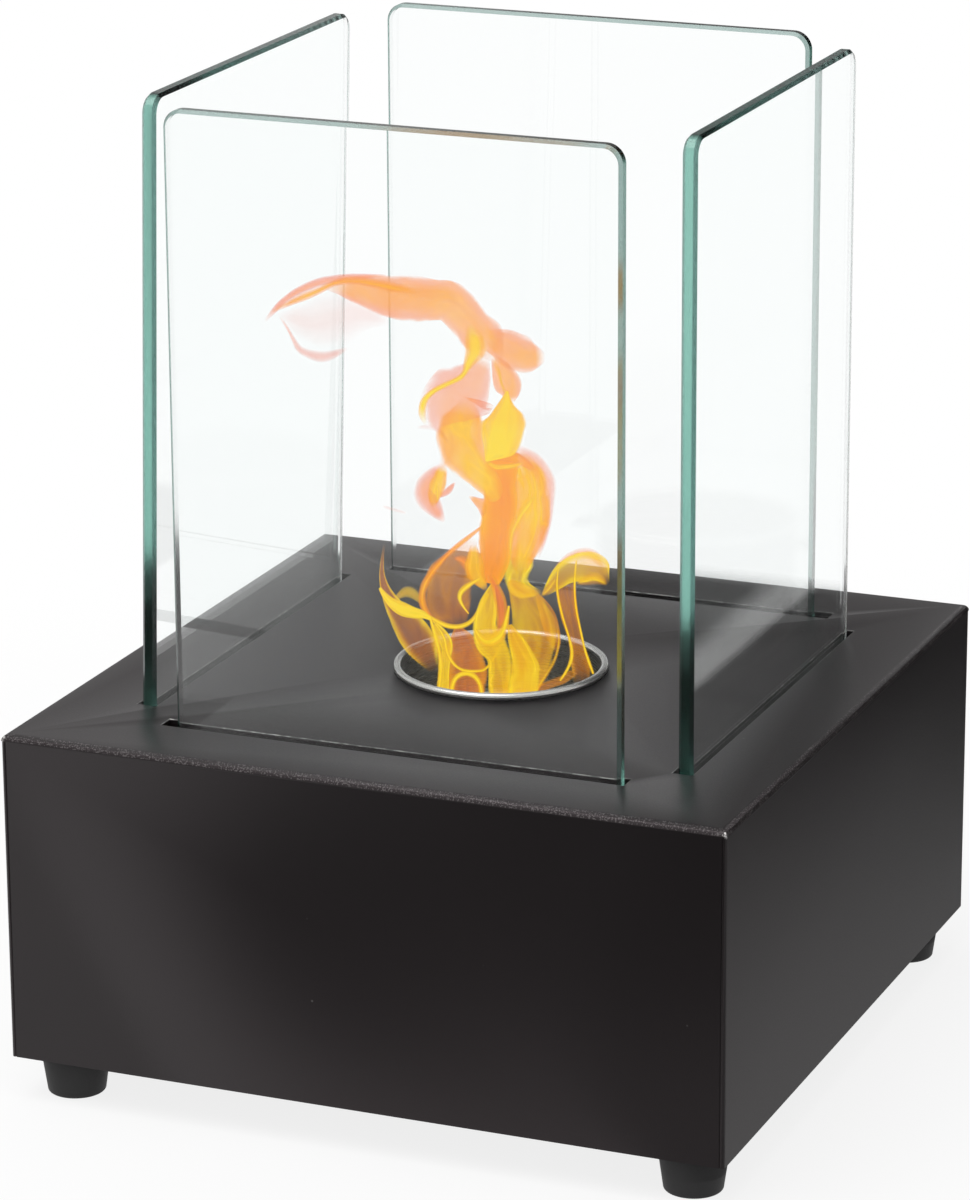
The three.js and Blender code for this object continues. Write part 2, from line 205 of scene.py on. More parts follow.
def makeGrainGroup():
    # the pebbled skin of a powder coat or a moulding, with pale specks here and there
    group, taken, given = newGroup("coatGrain", {"Scale": 1500.0, "Specks": 90.0}, ("Height", "Speck", "Cloud"))
    place = objectPlace(group)
    pebble = node(group, "ShaderNodeTexNoise", {"Detail": 2.0, "Roughness": 0.55}, Vector=place, Scale=taken["Scale"])
    cells = node(group, "ShaderNodeTexVoronoi", {"Randomness": 1.0}, Vector=place, Scale=taken["Specks"])
    small = remap(group, cells.outputs["Distance"], 0.0, 0.035, 1.0, 0.0)
    chosen = node(group, "ShaderNodeSeparateColor", Color=cells.outputs["Color"])
    rare = maths(group, "GREATER_THAN", chosen.outputs["Red"], 0.6)
    group.links.new(pebble.outputs["Fac"], given["Height"])
    group.links.new(maths(group, "MULTIPLY", small, rare), given["Speck"])
    group.links.new(noiseAt(group, place, 14.0, 3.0), given["Cloud"])
    return group


def makeTurnedGroup():
    # fine rings left by turning or polishing round the Z axis
    group, taken, given = newGroup("turnedRings", {"Fineness": 900.0}, ("Height", "Tone"))
    place = objectPlace(group)
    x, y, height = split(group, place)
    radius = maths(group, "SQRT", maths(group, "MULTIPLY_ADD", x, x, maths(group, "MULTIPLY", y, y)))
    wound = node(
        group,
        "ShaderNodeCombineXYZ",
        X=maths(group, "MULTIPLY", radius, taken["Fineness"]),
        Y=maths(group, "MULTIPLY", height, taken["Fineness"]),
        Z=maths(group, "MULTIPLY", maths(group, "ARCTAN2", y, x), 1.5),
    )
    group.links.new(noiseAt(group, wound.outputs["Vector"], 1.0, 2.0), given["Height"])
    group.links.new(noiseAt(group, place, 60.0, 2.0), given["Tone"])
    return group


grainGroup = makeGrainGroup()
turnedGroup = makeTurnedGroup()

# finishes

coatLook = {
    "dark": (0.0068, 0.0054, 0.0058, 1),
    "light": (0.0112, 0.009, 0.0095, 1),
    "speck": (0.16, 0.15, 0.15, 1),
    "grainScale": 2300.0,
    "speckScale": 85.0,
    "roughness": 0.33,
    "roughnessSpread": 0.12,
    "specular": 0.4,
    "sheenTint": (1.0, 0.88, 0.91, 1),
    "bump": 0.3,
    "bumpDepth": 0.06 * mm,
    "bendReach": 1.6 * mm,
    "bendGlintGrain": 0.57,  # the grain height above which a painted highlight goes on the bends
    # the pale colour of the painted highlight on the bends
    "bendPaintedGlint": (0.105, 0.097, 0.098, 1),
    "bare": (0.42, 0.41, 0.4, 1),  # steel that shows at the worn corners of the top
    "bareCorner": (housingHigh.x, housingHigh.x, plateTop - 0.9 * mm),
    "bareReach": 1.5 * mm,
    "clearReach": 56 * mm,  # the panes mirror nothing of the plate inside this, and only a share beyond
    "clearShare": 0.27,
}


def powderCoat(look):
    material, tree = freshMaterial("powderCoat")
    grain = useGroup(tree, grainGroup, Scale=look["grainScale"], Specks=look["speckScale"])
    height = grain["Height"]
    tone = mixOf(tree, grain["Cloud"], look["dark"], look["light"])
    colour = mixOf(tree, grain["Speck"], tone, look["speck"])
    # all four corners are worn alike
    quarter = node(tree, "ShaderNodeVectorMath", {"operation": "ABSOLUTE"}, Vector=objectPlace(tree)).outputs[0]
    away = node(tree, "ShaderNodeVectorMath", {"operation": "DISTANCE"}, Vector=quarter)
    away.inputs[1].default_value = look["bareCorner"]
    patch = maths(tree, "MULTIPLY_ADD", height, 1.6 * look["bareReach"], away.outputs["Value"])
    bare = maths(tree, "LESS_THAN", patch, 1.5 * look["bareReach"])
    colour = mixOf(tree, bare, colour, look["bare"])
    # painted highlight: pale colour painted on the grain peaks along the bends round the plate, standing in for their
    # glints
    outX, outY, up = split(tree, quarter)
    outward = maths(tree, "GREATER_THAN", maths(tree, "MAXIMUM", outX, outY), housingHigh.x - look["bendReach"])
    bend = maths(tree, "MULTIPLY", outward, maths(tree, "GREATER_THAN", up, plateTop - look["bendReach"]))
    glintPeak = maths(tree, "GREATER_THAN", height, look["bendGlintGrain"])
    colour = mixOf(tree, maths(tree, "MULTIPLY", bend, glintPeak), colour, look["bendPaintedGlint"])
    coat = principled(
        tree,
        {"Specular IOR Level": look["specular"], "Specular Tint": look["sheenTint"]},
        Base_Color=colour,
        Metallic=bare,
        Roughness=maths(tree, "MULTIPLY_ADD", height, look["roughnessSpread"], look["roughness"]),
        Normal=bumpOf(tree, height, look["bump"], look["bumpDepth"]),
    )
    # the panes mirror the white room rather than the coat, as in the photo
    path = tree.nodes.new("ShaderNodeLightPath").outputs
    share = maths(tree, "MAXIMUM", maths(tree, "LESS_THAN", outX, look["clearReach"]), look["clearShare"])
    share = maths(tree, "MAXIMUM", share, path["Transparent Depth"])
    mirrored = maths(tree, "MULTIPLY", path["Is Singular Ray"], path["Glossy Depth"], clamp=True)
    mirrored = maths(tree, "MULTIPLY", mirrored, share, clamp=True)
    return finish(material, tree, mixShader(tree, mirrored, coat, clearShader(tree)))


wornLook = {
    "scale": 420.0,
    "coat": (0.03, 0.028, 0.028, 1),
    "steel": (0.32, 0.31, 0.3, 1),
    "roughness": 0.32,
}


def wornEdge(look):
    # a cut edge, bright through the coat in places
    material, tree = freshMaterial("wornEdge")
    bare = remap(tree, noiseAt(tree, objectPlace(tree), look["scale"], 3.0), 0.45, 0.65, 0.15, 1.0)
    colour = mixOf(tree, bare, look["coat"], look["steel"])
    surface = principled(tree, {"Roughness": look["roughness"]}, Base_Color=colour, Metallic=bare)
    return finish(material, tree, surface)


glassLook = {
    "ior": 1.5,
    "absorb": (0.11, 0.64, 0.55, 1),
    "density": 6.0,
    "edgeTint": (0.3, 0.58, 0.48, 1),
    # the arrises get a darker teal than the edge: the glass's own tint with painted shade on top
    "arrisShadedTint": (0.1, 0.18, 0.16, 1),
    "groundScale": 700.0,
    "groundRoughness": 0.19,
    "groundSpread": 0.03,
}


def clearGlass(look):
    material, tree = freshMaterial("clearGlass")
    ground = node(tree, "ShaderNodeAttribute", {"attribute_name": "groundEdge"}).outputs["Fac"]
    onEdge = maths(tree, "MULTIPLY", ground, 2.0, clamp=True)
    onArris = maths(tree, "MULTIPLY_ADD", ground, 2.0, -1.0, clamp=True)
    marks = noiseAt(tree, objectPlace(tree), look["groundScale"], 2.0)
    uneven = maths(tree, "MULTIPLY_ADD", marks, look["groundSpread"], look["groundRoughness"])
    outside = maths(tree, "SUBTRACT", 1.0, tree.nodes.new("ShaderNodeNewGeometry").outputs["Backfacing"])
    tint = mixOf(tree, maths(tree, "MULTIPLY", onEdge, outside), (1, 1, 1, 1), look["edgeTint"])
    # painted shade: the arrises seen from outside are darkened beyond the glass's own teal
    tint = mixOf(tree, maths(tree, "MULTIPLY", onArris, outside), tint, look["arrisShadedTint"])
    glass = principled(
        tree,
        {"IOR": look["ior"], "Transmission Weight": 1.0},
        Base_Color=tint,
        Roughness=maths(tree, "MULTIPLY", onEdge, uneven),
    )
    path = tree.nodes.new("ShaderNodeLightPath").outputs
    passes = maths(tree, "MAXIMUM", path["Is Shadow Ray"], path["Is Diffuse Ray"])
    inside = node(tree, "ShaderNodeVolumeAbsorption", {"Color": look["absorb"], "Density": look["density"]})
    return finish(material, tree, mixShader(tree, passes, glass, clearShader(tree)), inside.outputs[0])


steelLook = {
    "colour": (0.6, 0.585, 0.565, 1),
    "roughness": 0.2,
    "fineness": 2400.0,
    "lowerToneTop": plateTop + 1.6 * mm,  # the cup is darker and browner below this height
    "lowerToneBottom": plateTop - 7 * mm,
    "lowerTone": (0.36, 0.345, 0.31, 1),
}
zincLook = {
    "colour": (0.5, 0.52, 0.55, 1),
    "roughness": 0.3,
    "fineness": 3000.0,
}


def turnedSteel(name, look):
    material, tree = freshMaterial(name)
    rings = useGroup(tree, turnedGroup, Fineness=look["fineness"])
    dull = tuple(0.8 * c for c in look["colour"][:3]) + (1,)
    tone = mixOf(tree, rings["Tone"], dull, look["colour"])
    # darker and browner towards the bottom of the cup, blending in between the two heights
    if "lowerTone" in look:
        uneven = maths(tree, "MULTIPLY_ADD", rings["Tone"], 4 * mm, split(tree, objectPlace(tree))["Z"])
        tone = mixOf(tree, remap(tree, uneven, look["lowerToneTop"], look["lowerToneBottom"]), tone, look["lowerTone"])
    surface = principled(
        tree,
        {"Metallic": 1.0},
        Base_Color=tone,
        Roughness=maths(tree, "MULTIPLY_ADD", rings["Height"], 0.14, look["roughness"]),
        Normal=bumpOf(tree, rings["Height"], 0.3, 0.02 * mm),
    )
    return finish(material, tree, surface)


rubberLook = {
    "dark": (0.008, 0.0075, 0.008, 1),
    "light": (0.013, 0.0125, 0.013, 1),
}
siliconeLook = {
    "dark": (0.01, 0.01, 0.01, 1),
    "light": (0.016, 0.016, 0.016, 1),
}


def mouldedRubber(name, look):
    material, tree = freshMaterial(name)
    grain = useGroup(tree, grainGroup, Scale=2600.0, Specks=160.0)
    tone = mixOf(tree, grain["Cloud"], look["dark"], look["light"])
    surface = principled(
        tree,
        {"Specular IOR Level": 0.4},
        Base_Color=mixOf(tree, grain["Speck"], tone, (0.12, 0.12, 0.12, 1)),
        Roughness=maths(tree, "MULTIPLY_ADD", grain["Height"], 0.2, 0.5),
        Normal=bumpOf(tree, grain["Height"], 0.3, 0.05 * mm),
    )
    return finish(material, tree, surface)


woolLook = {
    "dark": (0.42, 0.37, 0.3, 1),
    "light": (0.8, 0.77, 0.7, 1),
    "scale": 500.0,
    "roughness": 0.95,
    "bumpDepth": 0.4 * mm,
}


def fibreWool(look):
    material, tree = freshMaterial("ceramicFibre")
    strands = noiseAt(tree, objectPlace(tree), look["scale"], 6.0, 2.5)
    colour = mixOf(tree, strands, look["dark"], look["light"])
    normal = bumpOf(tree, strands, 0.8, look["bumpDepth"])
    return finish(material, tree, principled(tree, {"Roughness": look["roughness"]}, Base_Color=colour, Normal=normal))


coatMaterial = powderCoat(coatLook)
wornMaterial = wornEdge(wornLook)
glassMaterial = clearGlass(glassLook)
steelMaterial = turnedSteel("satinSteel", steelLook)
zincMaterial = turnedSteel("zincPlate", zincLook)
footMaterial = mouldedRubber("footRubber", rubberLook)
padMaterial = mouldedRubber("silicone", siliconeLook)
woolMaterial = fibreWool(woolLook)
print("finishes made")

# modelling helpers


def pick(piece):
    if bpy.context.object and bpy.context.object.mode != "OBJECT":
        bpy.ops.object.mode_set(mode="OBJECT")
    bpy.ops.object.select_all(action="DESELECT")
    piece.select_set(True)
    bpy.context.view_layer.objects.active = piece


def editAll(piece):
    pick(piece)
    bpy.ops.object.mode_set(mode="EDIT")
    bpy.ops.mesh.select_all(action="SELECT")


def endEdit():
    bpy.ops.object.mode_set(mode="OBJECT")


def selectEdges(piece, wanted):
    # picks the edges that satisfy the test, and stays in edit mode
    editAll(piece)
    bpy.ops.mesh.select_mode(type="EDGE")
    bpy.ops.mesh.select_all(action="DESELECT")
    bpy.ops.object.mode_set(mode="OBJECT")
    for edge in piece.data.edges:
        a, b = (piece.data.vertices[i].co for i in edge.vertices)
        edge.select = wanted(a, b, edge.key)
    bpy.ops.object.mode_set(mode="EDIT")


def settle(piece, body, *materials):
    # the object goes to the origin and its place into its mesh
    pick(piece)
    bpy.ops.object.transform_apply(location=True, rotation=True, scale=True)
    piece.data.materials.clear()
    for material in materials:
        piece.data.materials.append(material)
    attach(piece, body)


def smooth(piece, angle=35):
    pick(piece)
    bpy.ops.object.shade_smooth_by_angle(angle=radians(angle))


def linkNew(name, data):
    made = bpy.data.objects.new(name, data)
    scene.collection.objects.link(made)
    return made


def copyOfNode(nodeName, pieceName):
    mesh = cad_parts[nodeName].data.copy()
    mesh.name = pieceName
    piece = linkNew(pieceName, mesh)
    editAll(piece)
    bpy.ops.mesh.remove_doubles(threshold=0.001 * mm)
    bpy.ops.mesh.dissolve_limited(angle_limit=radians(0.2))
    endEdit()
    return piece


def turnedPiece(name, profile, steps):
    # a vertex is drawn out along the profile and the line is spun round the Z axis
    radius, height = profile[0]
    bpy.ops.object.select_all(action="DESELECT")
    bpy.ops.mesh.primitive_plane_add(size=mm, location=(radius, 0, height))
    piece = bpy.context.object
    piece.name = piece.data.name = name
    bpy.ops.object.transform_apply(location=True)
    editAll(piece)
    bpy.ops.mesh.select_mode(type="VERT")
    bpy.ops.mesh.select_all(action="SELECT")
    bpy.ops.mesh.merge(type="CENTER")
    for (r0, h0), (r1, h1) in zip(profile, profile[1:]):
        bpy.ops.mesh.extrude_region_move(TRANSFORM_OT_translate={"value": (r1 - r0, 0, h1 - h0)})
    bpy.ops.mesh.select_all(action="SELECT")
    bpy.ops.mesh.spin(steps=steps, angle=2 * pi, center=(0, 0, 0), axis=(0, 0, 1))
    bpy.ops.mesh.select_all(action="SELECT")
    bpy.ops.mesh.remove_doubles(threshold=0.002 * mm)
    bpy.ops.mesh.normals_make_consistent(inside=False)
    endEdit()
    return piece


def arc(centreRadius, centreHeight, radius, start, end, steps):
    points = []
    for i in range(steps + 1):
        angle = radians(start + (end - start) * i / steps)
        points.append((centreRadius + radius * cos(angle), centreHeight + radius * sin(angle)))
    return points


# housing

housingShape = {
    "rimBevel": 0.22 * mm,  # broken edge round the slots and the burner hole
    "cornerBevel": 0.9 * mm,
    "bendWidth": 4 * mm,  # the outer strip that the rims never reach
}


def makeHousing(shape):
    piece = copyOfNode("housing", "housingShell")
    mesh = piece.data
    mesh.materials.clear()
    mesh.materials.append(coatMaterial)
    mesh.materials.append(wornMaterial)
    half = housingHigh.x
    reach = half - shape["bendWidth"]
    slopes = {}
    for polygon in mesh.polygons:
        for key in polygon.edge_keys:
            slopes.setdefault(key, []).append(polygon.normal.z)

    def onRim(a, b, key):
        # the outlines of the openings, where the plate turns down
        inside = all(abs(p.z - plateTop) < near and max(abs(p.x), abs(p.y)) < reach for p in (a, b))
        return inside and min(slopes[key]) < 0.5 < max(slopes[key])

    def upright(a, b, key):
        atCorner = all(abs(abs(p.x) - half) < near and abs(abs(p.y) - half) < near for p in (a, b))
        return atCorner and abs(a.z - b.z) > 10 * mm

    selectEdges(piece, onRim)
    bpy.ops.mesh.bevel(offset=shape["rimBevel"], segments=2, material=1)
    endEdit()
    selectEdges(piece, upright)
    bpy.ops.mesh.bevel(offset=shape["cornerBevel"], segments=3)
    endEdit()
    smooth(piece)
    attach(piece, "base")
    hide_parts("housing")


makeHousing(housingShape)
print("housing made")

# glass panes

paneShape = {
    "thickness": 4 * mm,
    "cornerRadius": 5 * mm,
    "cornerSegments": 14,
    "arris": 0.9 * mm,
}


def spanOf(vertices, axis):
    values = [getattr(v.co, axis) for v in vertices]
    return min(values), max(values)


def makePane(side, shape):
    low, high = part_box(f"glass_pane_{side}")
    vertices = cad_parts[f"glass_pane_{side}"].data.vertices
    across, along = ("x", "y") if side in ("left", "right") else ("y", "x")
    thickness = shape["thickness"]
    # a leaning pane is built upright and then turned about its foot
    bottomZ = spanOf(vertices, "z")[0]
    footMiddle = sum(spanOf([v for v in vertices if v.co.z < bottomZ + 1 * mm], across)) / 2
    headMiddle = sum(spanOf([v for v in vertices if v.co.z > high.z - 1 * mm], across)) / 2
    lean = atan2(headMiddle - footMiddle, high.z - low.z)
    height = (high.z - low.z) / cos(lean) - (thickness * abs(sin(lean)) if lean else 0)
    middle = Vector((0, 0, bottomZ + height / 2))
    setattr(middle, across, footMiddle)
    setattr(middle, along, (getattr(low, along) + getattr(high, along)) / 2)
    size = Vector((0, 0, height))
    setattr(size, across, thickness)
    setattr(size, along, getattr(high, along) - getattr(low, along))
    bpy.ops.object.select_all(action="DESELECT")
    bpy.ops.mesh.primitive_cube_add(size=1, location=middle, scale=size)
    pane = bpy.context.object
    pane.name = pane.data.name = f"glassPane{side.capitalize()}"
    bpy.ops.object.transform_apply(location=True, rotation=True, scale=True)
    top = middle.z + height / 2

    def topCorner(a, b, key):
        return min(a.z, b.z) > top - near and abs(getattr(a, across) - getattr(b, across)) > thickness / 2

    def rim(a, b, key):
        da, db = getattr(a, across) - footMiddle, getattr(b, across) - footMiddle
        return min(abs(da), abs(db)) > thickness / 2 - near and da * db > 0

    selectEdges(pane, topCorner)
    bpy.ops.mesh.bevel(offset=shape["cornerRadius"], segments=shape["cornerSegments"])
    endEdit()
    selectEdges(pane, rim)
    bpy.ops.mesh.bevel(offset=shape["arris"], segments=1)
    if abs(lean) > 0.001:
        bpy.ops.mesh.select_all(action="SELECT")
        foot = (footMiddle, middle.y, bottomZ)
        bpy.ops.transform.rotate(value=-lean, orient_axis="Y" if across == "x" else "X", center_override=foot)
    endEdit()
    smooth(pane, 25)
    faceWay = Vector((cos(lean), 0, -sin(lean))) if across == "x" else Vector((0, 1, 0))
    # 0 on the two faces, 0.5 on the edge between them and 1 on the arrises
    marks = []
    for polygon in pane.data.polygons:
        square = abs(polygon.normal.dot(faceWay))
        marks.append(0.0 if square > 0.99 else 0.5 if square < 0.1 else 1.0)
    pane.data.attributes.new("groundEdge", "FLOAT", "FACE").data.foreach_set("value", marks)
    settle(pane, f"pane_{side}", glassMaterial)
    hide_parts(f"glass_pane_{side}")


for side in sides:
    makePane(side, paneShape)
print("panes made")

# burner

burnerShape = {
    "insideRadius": 26.9 * mm,
    "sheet": 0.6 * mm,
    "cornerRadius": 3.4 * mm,
    "curlRadius": 0.45 * mm,
    "curlTurn": 300,
    "steps": 128,
}


def makeCup(shape):
    inside, sheet, corner, curl = (shape[k] for k in ("insideRadius", "sheet", "cornerRadius", "curlRadius"))
    bottom = cupLow.z
    roll = curl + sheet
    rollMiddle = cupHigh.z - roll
    cornerMiddle = inside - corner
    cornerHeight = bottom + sheet + corner
    profile = [(0, bottom + sheet)]
    profile += arc(cornerMiddle, cornerHeight, corner, -90, 0, 8)
    profile += arc(inside + roll, rollMiddle, roll, 180, 180 - shape["curlTurn"], 28)
    profile += arc(inside + roll, rollMiddle, curl, 180 - shape["curlTurn"], 180, 12)
    profile += arc(cornerMiddle, cornerHeight, corner + sheet, 0, -90, 8)
    profile += [(0, bottom)]
    cup = turnedPiece("burnerCup", profile, shape["steps"])
    smooth(cup, 40)
    settle(cup, "burner", steelMaterial)
    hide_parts("burner_cup")


makeCup(burnerShape)
print("burner made")

# feet

footShape = {
    "topRadius": 9.5 * mm,
    "topEdge": 0.3 * mm,
    "lipRadius": 9.05 * mm,
    "bottomRadius": 7.8 * mm,
    "edge": 0.8 * mm,
    "boreRadius": 4.5 * mm,
    "boreDepth": 5.5 * mm,
    "screwHole": 2.2 * mm,
    "steps": 64,
}


def makeFeet(shape):
    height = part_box("foot_front_left")[1].z
    edge, topEdge, bore, depth = (shape[k] for k in ("edge", "topEdge", "boreRadius", "boreDepth"))
    profile = [(bore, 0)]
    profile += arc(shape["bottomRadius"] - edge, edge, edge, -90, 0, 6)
    profile += [(shape["topRadius"] - topEdge, height - topEdge), (shape["lipRadius"], height)]
    profile += [(shape["screwHole"], height), (shape["screwHole"], depth), (bore, depth), (bore, 0)]
    first = turnedPiece("footPattern", profile, shape["steps"])
    smooth(first, 40)
    for corner in corners:
        low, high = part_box(f"foot_{corner}")
        name = "foot" + corner.title().replace("_", "")
        foot = linkNew(name, first.data.copy())
        foot.data.name = name
        foot.location = ((low.x + high.x) / 2, (low.y + high.y) / 2, 0)
        settle(foot, "base", footMaterial)
        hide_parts(f"foot_{corner}")
    bpy.data.objects.remove(first)


makeFeet(footShape)
print("feet made")

# the flame, tongue by tongue

# each point is across, towards the viewer, up from the plate, and half the width, in millimetres
flameCrest = {
    "archVeil": ("veil", [
        (-58.5, 3, 99, 0.4), (-54.5, 4, 98.5, 3.2), (-50, 5, 97.5, 6.4), (-45, 6, 98.5, 8), (-39, 6, 100, 7.2),
        (-33.5, 5, 99.5, 4.4), (-29, 4, 97, 1),
    ]),
    "arch": ("peach", [
        (-46.5, 7, 107.5, 0.4), (-42, 6, 107.5, 2.2), (-37.5, 5, 106, 4), (-32, 4, 105, 5.6), (-27, 3, 103.5, 6.4),
        (-21.5, 3, 103, 6.4), (-17, 2, 102.5, 5.6), (-13, 1, 102, 5.6), (-10, 1, 99, 5.6), (-7, 0, 95, 5.6),
        (-4, 0, 91, 5.6), (-2, 0, 88, 3.6), (0, 0, 85.5, 1.2),
    ]),
    "archGlow": ("glow", [
        (-30.5, 9, 108, 0.4), (-27, 9, 107.5, 1.6), (-21.5, 9, 106.5, 2.4), (-16.5, 8, 106, 2.8),
        (-12.5, 7, 105, 2.2), (-10.5, 6, 102, 1),
    ]),
    "archRim": ("blush", [
        (-61.5, 10, 99, 0.4), (-59.5, 9, 101.5, 0.8), (-55.5, 9, 105.5, 1), (-50, 8, 108, 1.2),
        (-45, 8, 109.5, 1.2), (-40, 7, 110, 1), (-34.5, 6, 110, 0.8), (-29.5, 5, 110, 0.4),
    ]),
    "archStripe": ("amberSoft", [
        (-60, 11, 101.5, 0.4), (-56, 10, 103.5, 0.8), (-51.5, 10, 105.5, 1.2), (-47, 9, 107, 1), (-43, 8, 109, 1),
        (-38.5, 8, 109.5, 1.2), (-33.5, 7, 108.5, 1.4), (-28, 6, 107, 1.6), (-23.5, 5, 106, 1.2),
        (-20.5, 4, 104.5, 0.4),
    ]),
    "archDrop": ("blushLight", [
        (-57.5, 9, 100, 0.4), (-55.5, 9, 97, 0.4), (-54, 9, 94, 0.6), (-52.5, 9, 91, 1), (-49.5, 9, 89.5, 1.4),
        (-46.5, 9, 89, 1.6), (-43, 9, 90, 1.2), (-40, 9, 91.5, 0.4),
    ]),
    "neck": ("neckGold", [
        (-7.5, 5, 97, 0.8), (-7, 5, 94, 2.2), (-6.5, 6, 92, 3.2), (-6.5, 6, 89.5, 3.2), (-8, 7, 87, 1.8),
        (-9, 8, 84.5, 0.8), (-10.5, 9, 83, 0.8), (-14, 9, 81.5, 0.8), (-17, 9, 80, 0.8), (-19.5, 9, 78, 1),
        (-20.5, 9, 75.5, 1.2), (-20.5, 9, 72.5, 1), (-19.5, 9, 70.5, 0.4),
    ]),
    "pinkFill": ("salmon", [
        (-3.5, -2, 86, 1.2), (-5, -1, 83, 3.4), (-8, 0, 79.5, 6.6), (-11, 1, 76.5, 9.6), (-11.5, 1, 73, 10),
        (-11.5, 1, 70, 8.4), (-10.5, 1, 67, 5.2),
    ]),
    "rightBulge": ("peach", [
        (-4, -2, 91, 2.6), (0, -3, 89.5, 4.4), (3.5, -4, 87, 5.2), (7.5, -5, 85, 4.8), (10, -5, 85, 3.2),
        (12, -5, 85, 1.2),
    ]),
    "rightShred": ("peach", [
        (-1.5, -2, 86, 0.8), (0.5, -3, 82, 3), (2, -3, 78.5, 4), (3, -3, 75.5, 2.6), (3, -3, 73, 0.4),
    ]),
    "shredLine": ("threadSoft", [
        (-0.5, 4, 85, 0.2), (0, 4, 82.5, 0.4), (0.5, 5, 80, 0.4), (1.5, 6, 78.5, 0.4), (2, 6, 77.5, 0.2),
    ]),
}

flameBody = {
    "pinkRim": ("rose", [
        (2.5, -9, 59, 1.8), (8, -9, 56, 3.2), (12, -9, 50.5, 2.8), (13, -9, 44.5, 2), (12.5, -8, 38, 1.4),
        (11.5, -8, 33, 1.2), (10.5, -8, 28.5, 0.4),
    ]),
    "columnRight": ("apricot", [
        (4, -5, 57.5, 2.4), (7.5, -6, 51.5, 5.6), (8.5, -7, 44, 5.2), (8, -6, 38, 5), (6.5, -5, 32, 4.4),
        (5.5, -4, 28.5, 3.2), (5, -3, 25, 1.2),
    ]),
    "columnFoot": ("footGold", [
        (5.5, -8, 32.5, 2), (5.5, -8, 28, 4.4), (4.5, -8, 24, 3.6), (5, -7, 21, 3.6), (8, -6, 19.5, 2),
        (11, -5, 20, 0.4),
    ]),
    "column": ("amber", [
        (0.5, -2, 59, 4.8), (0.5, -2, 52.5, 4.8), (0, -1, 45, 4.6), (-1, 0, 38, 4.8), (-2, 1, 30.5, 4.8),
        (-3, 2, 24.5, 2.8),
    ]),
    "collarPeach": ("peach", [
        (-2.5, 1, 59, 0.8), (0.5, 1, 60, 1.6), (4, 0, 59, 1.8), (7, -1, 57, 1.2), (9, -2, 54.5, 0.4),
    ]),
    "collar": ("apricot", [
        (-4, 3, 59, 0.4), (-2, 4, 57.5, 0.8), (1, 4, 57.5, 0.8), (4, 3, 57.5, 0.8), (6.5, 2, 58, 0.4),
    ]),
    "columnFlare": ("threadSoft", [
        (9, 3, 49.5, 0.4), (8, 4, 47.5, 1.2), (6, 4, 45, 1.6), (4.5, 4, 42, 1.6), (3, 4, 39, 1),
        (2.5, 4, 35.5, 0.8), (2.5, 4, 32.5, 0.4),
    ]),
    "columnLeft": ("peach", [
        (-8.5, -3, 47.5, 0.2), (-6, -2, 46, 1.2), (-4, -1, 45, 2.4), (-3, 0, 43, 2.4), (-3.5, 0, 41, 1.2),
        (-4, 0, 39.5, 0.4),
    ]),
    "yellowBody": ("honey", [
        (-9, 1, 75.5, 1.2), (-9.5, 2, 72, 5.2), (-10.5, 2, 67.5, 7), (-10, 2, 62.5, 6.8), (-7.5, 2, 58, 5.6),
        (-4, 1, 53.5, 4), (-1, 0, 49, 2.8), (0, 0, 43.5, 0.8),
    ]),
    "bodyPeach": ("glow", [
        (-13, 5, 68, 0.8), (-12.5, 6, 65.5, 2.4), (-13, 6, 62, 2.8), (-14.5, 6, 59.5, 2.2), (-16, 6, 57, 0.8),
    ]),
    "yellowLobe": ("gold", [
        (2, 7, 79, 0.4), (1.5, 8, 75.5, 2), (2, 9, 71, 6.4), (0.5, 9, 66.5, 6.4), (-1.5, 8, 63, 3.2),
        (-3.5, 7, 60, 0.4),
    ]),
    "leftWisp": ("blush", [
        (-15, 5, 58.5, 0.8), (-17.5, 6, 56, 2.4), (-20, 7, 53, 3.2), (-19.5, 8, 50, 3.6), (-17, 8, 46.5, 2.4),
        (-15, 8, 43.5, 0.4),
    ]),
    "wispFlesh": ("honey", [
        (-15, 7, 58.5, 1.2), (-15.5, 8, 56, 2), (-16.5, 8, 53, 2.4), (-17.5, 8, 50, 1.6), (-17.5, 8, 47.5, 0.4),
    ]),
    "wispRight": ("blush", [
        (-16.5, 8, 50.5, 0.4), (-14.5, 8, 51.5, 1.2), (-13, 8, 53, 0.8), (-12, 8, 54.5, 0.2),
    ]),
    "wispCore": ("threadSoft", [
        (-17, 10, 54.5, 0.2), (-16.5, 10, 53, 0.8), (-16.5, 10, 51, 0.4), (-16.5, 10, 49.5, 0.2),
    ]),
    "leftSpeck": ("veil", [
        (-31.5, 8, 48, 0.4), (-28.5, 8, 47, 0.8), (-25, 8, 46, 0.4),
    ]),
    "leftMist": ("veil", [
        (-22, 8, 69.5, 0.4), (-19, 8, 70, 1.2), (-15.5, 8, 68.5, 0.8), (-14, 8, 65, 0.4),
    ]),
}

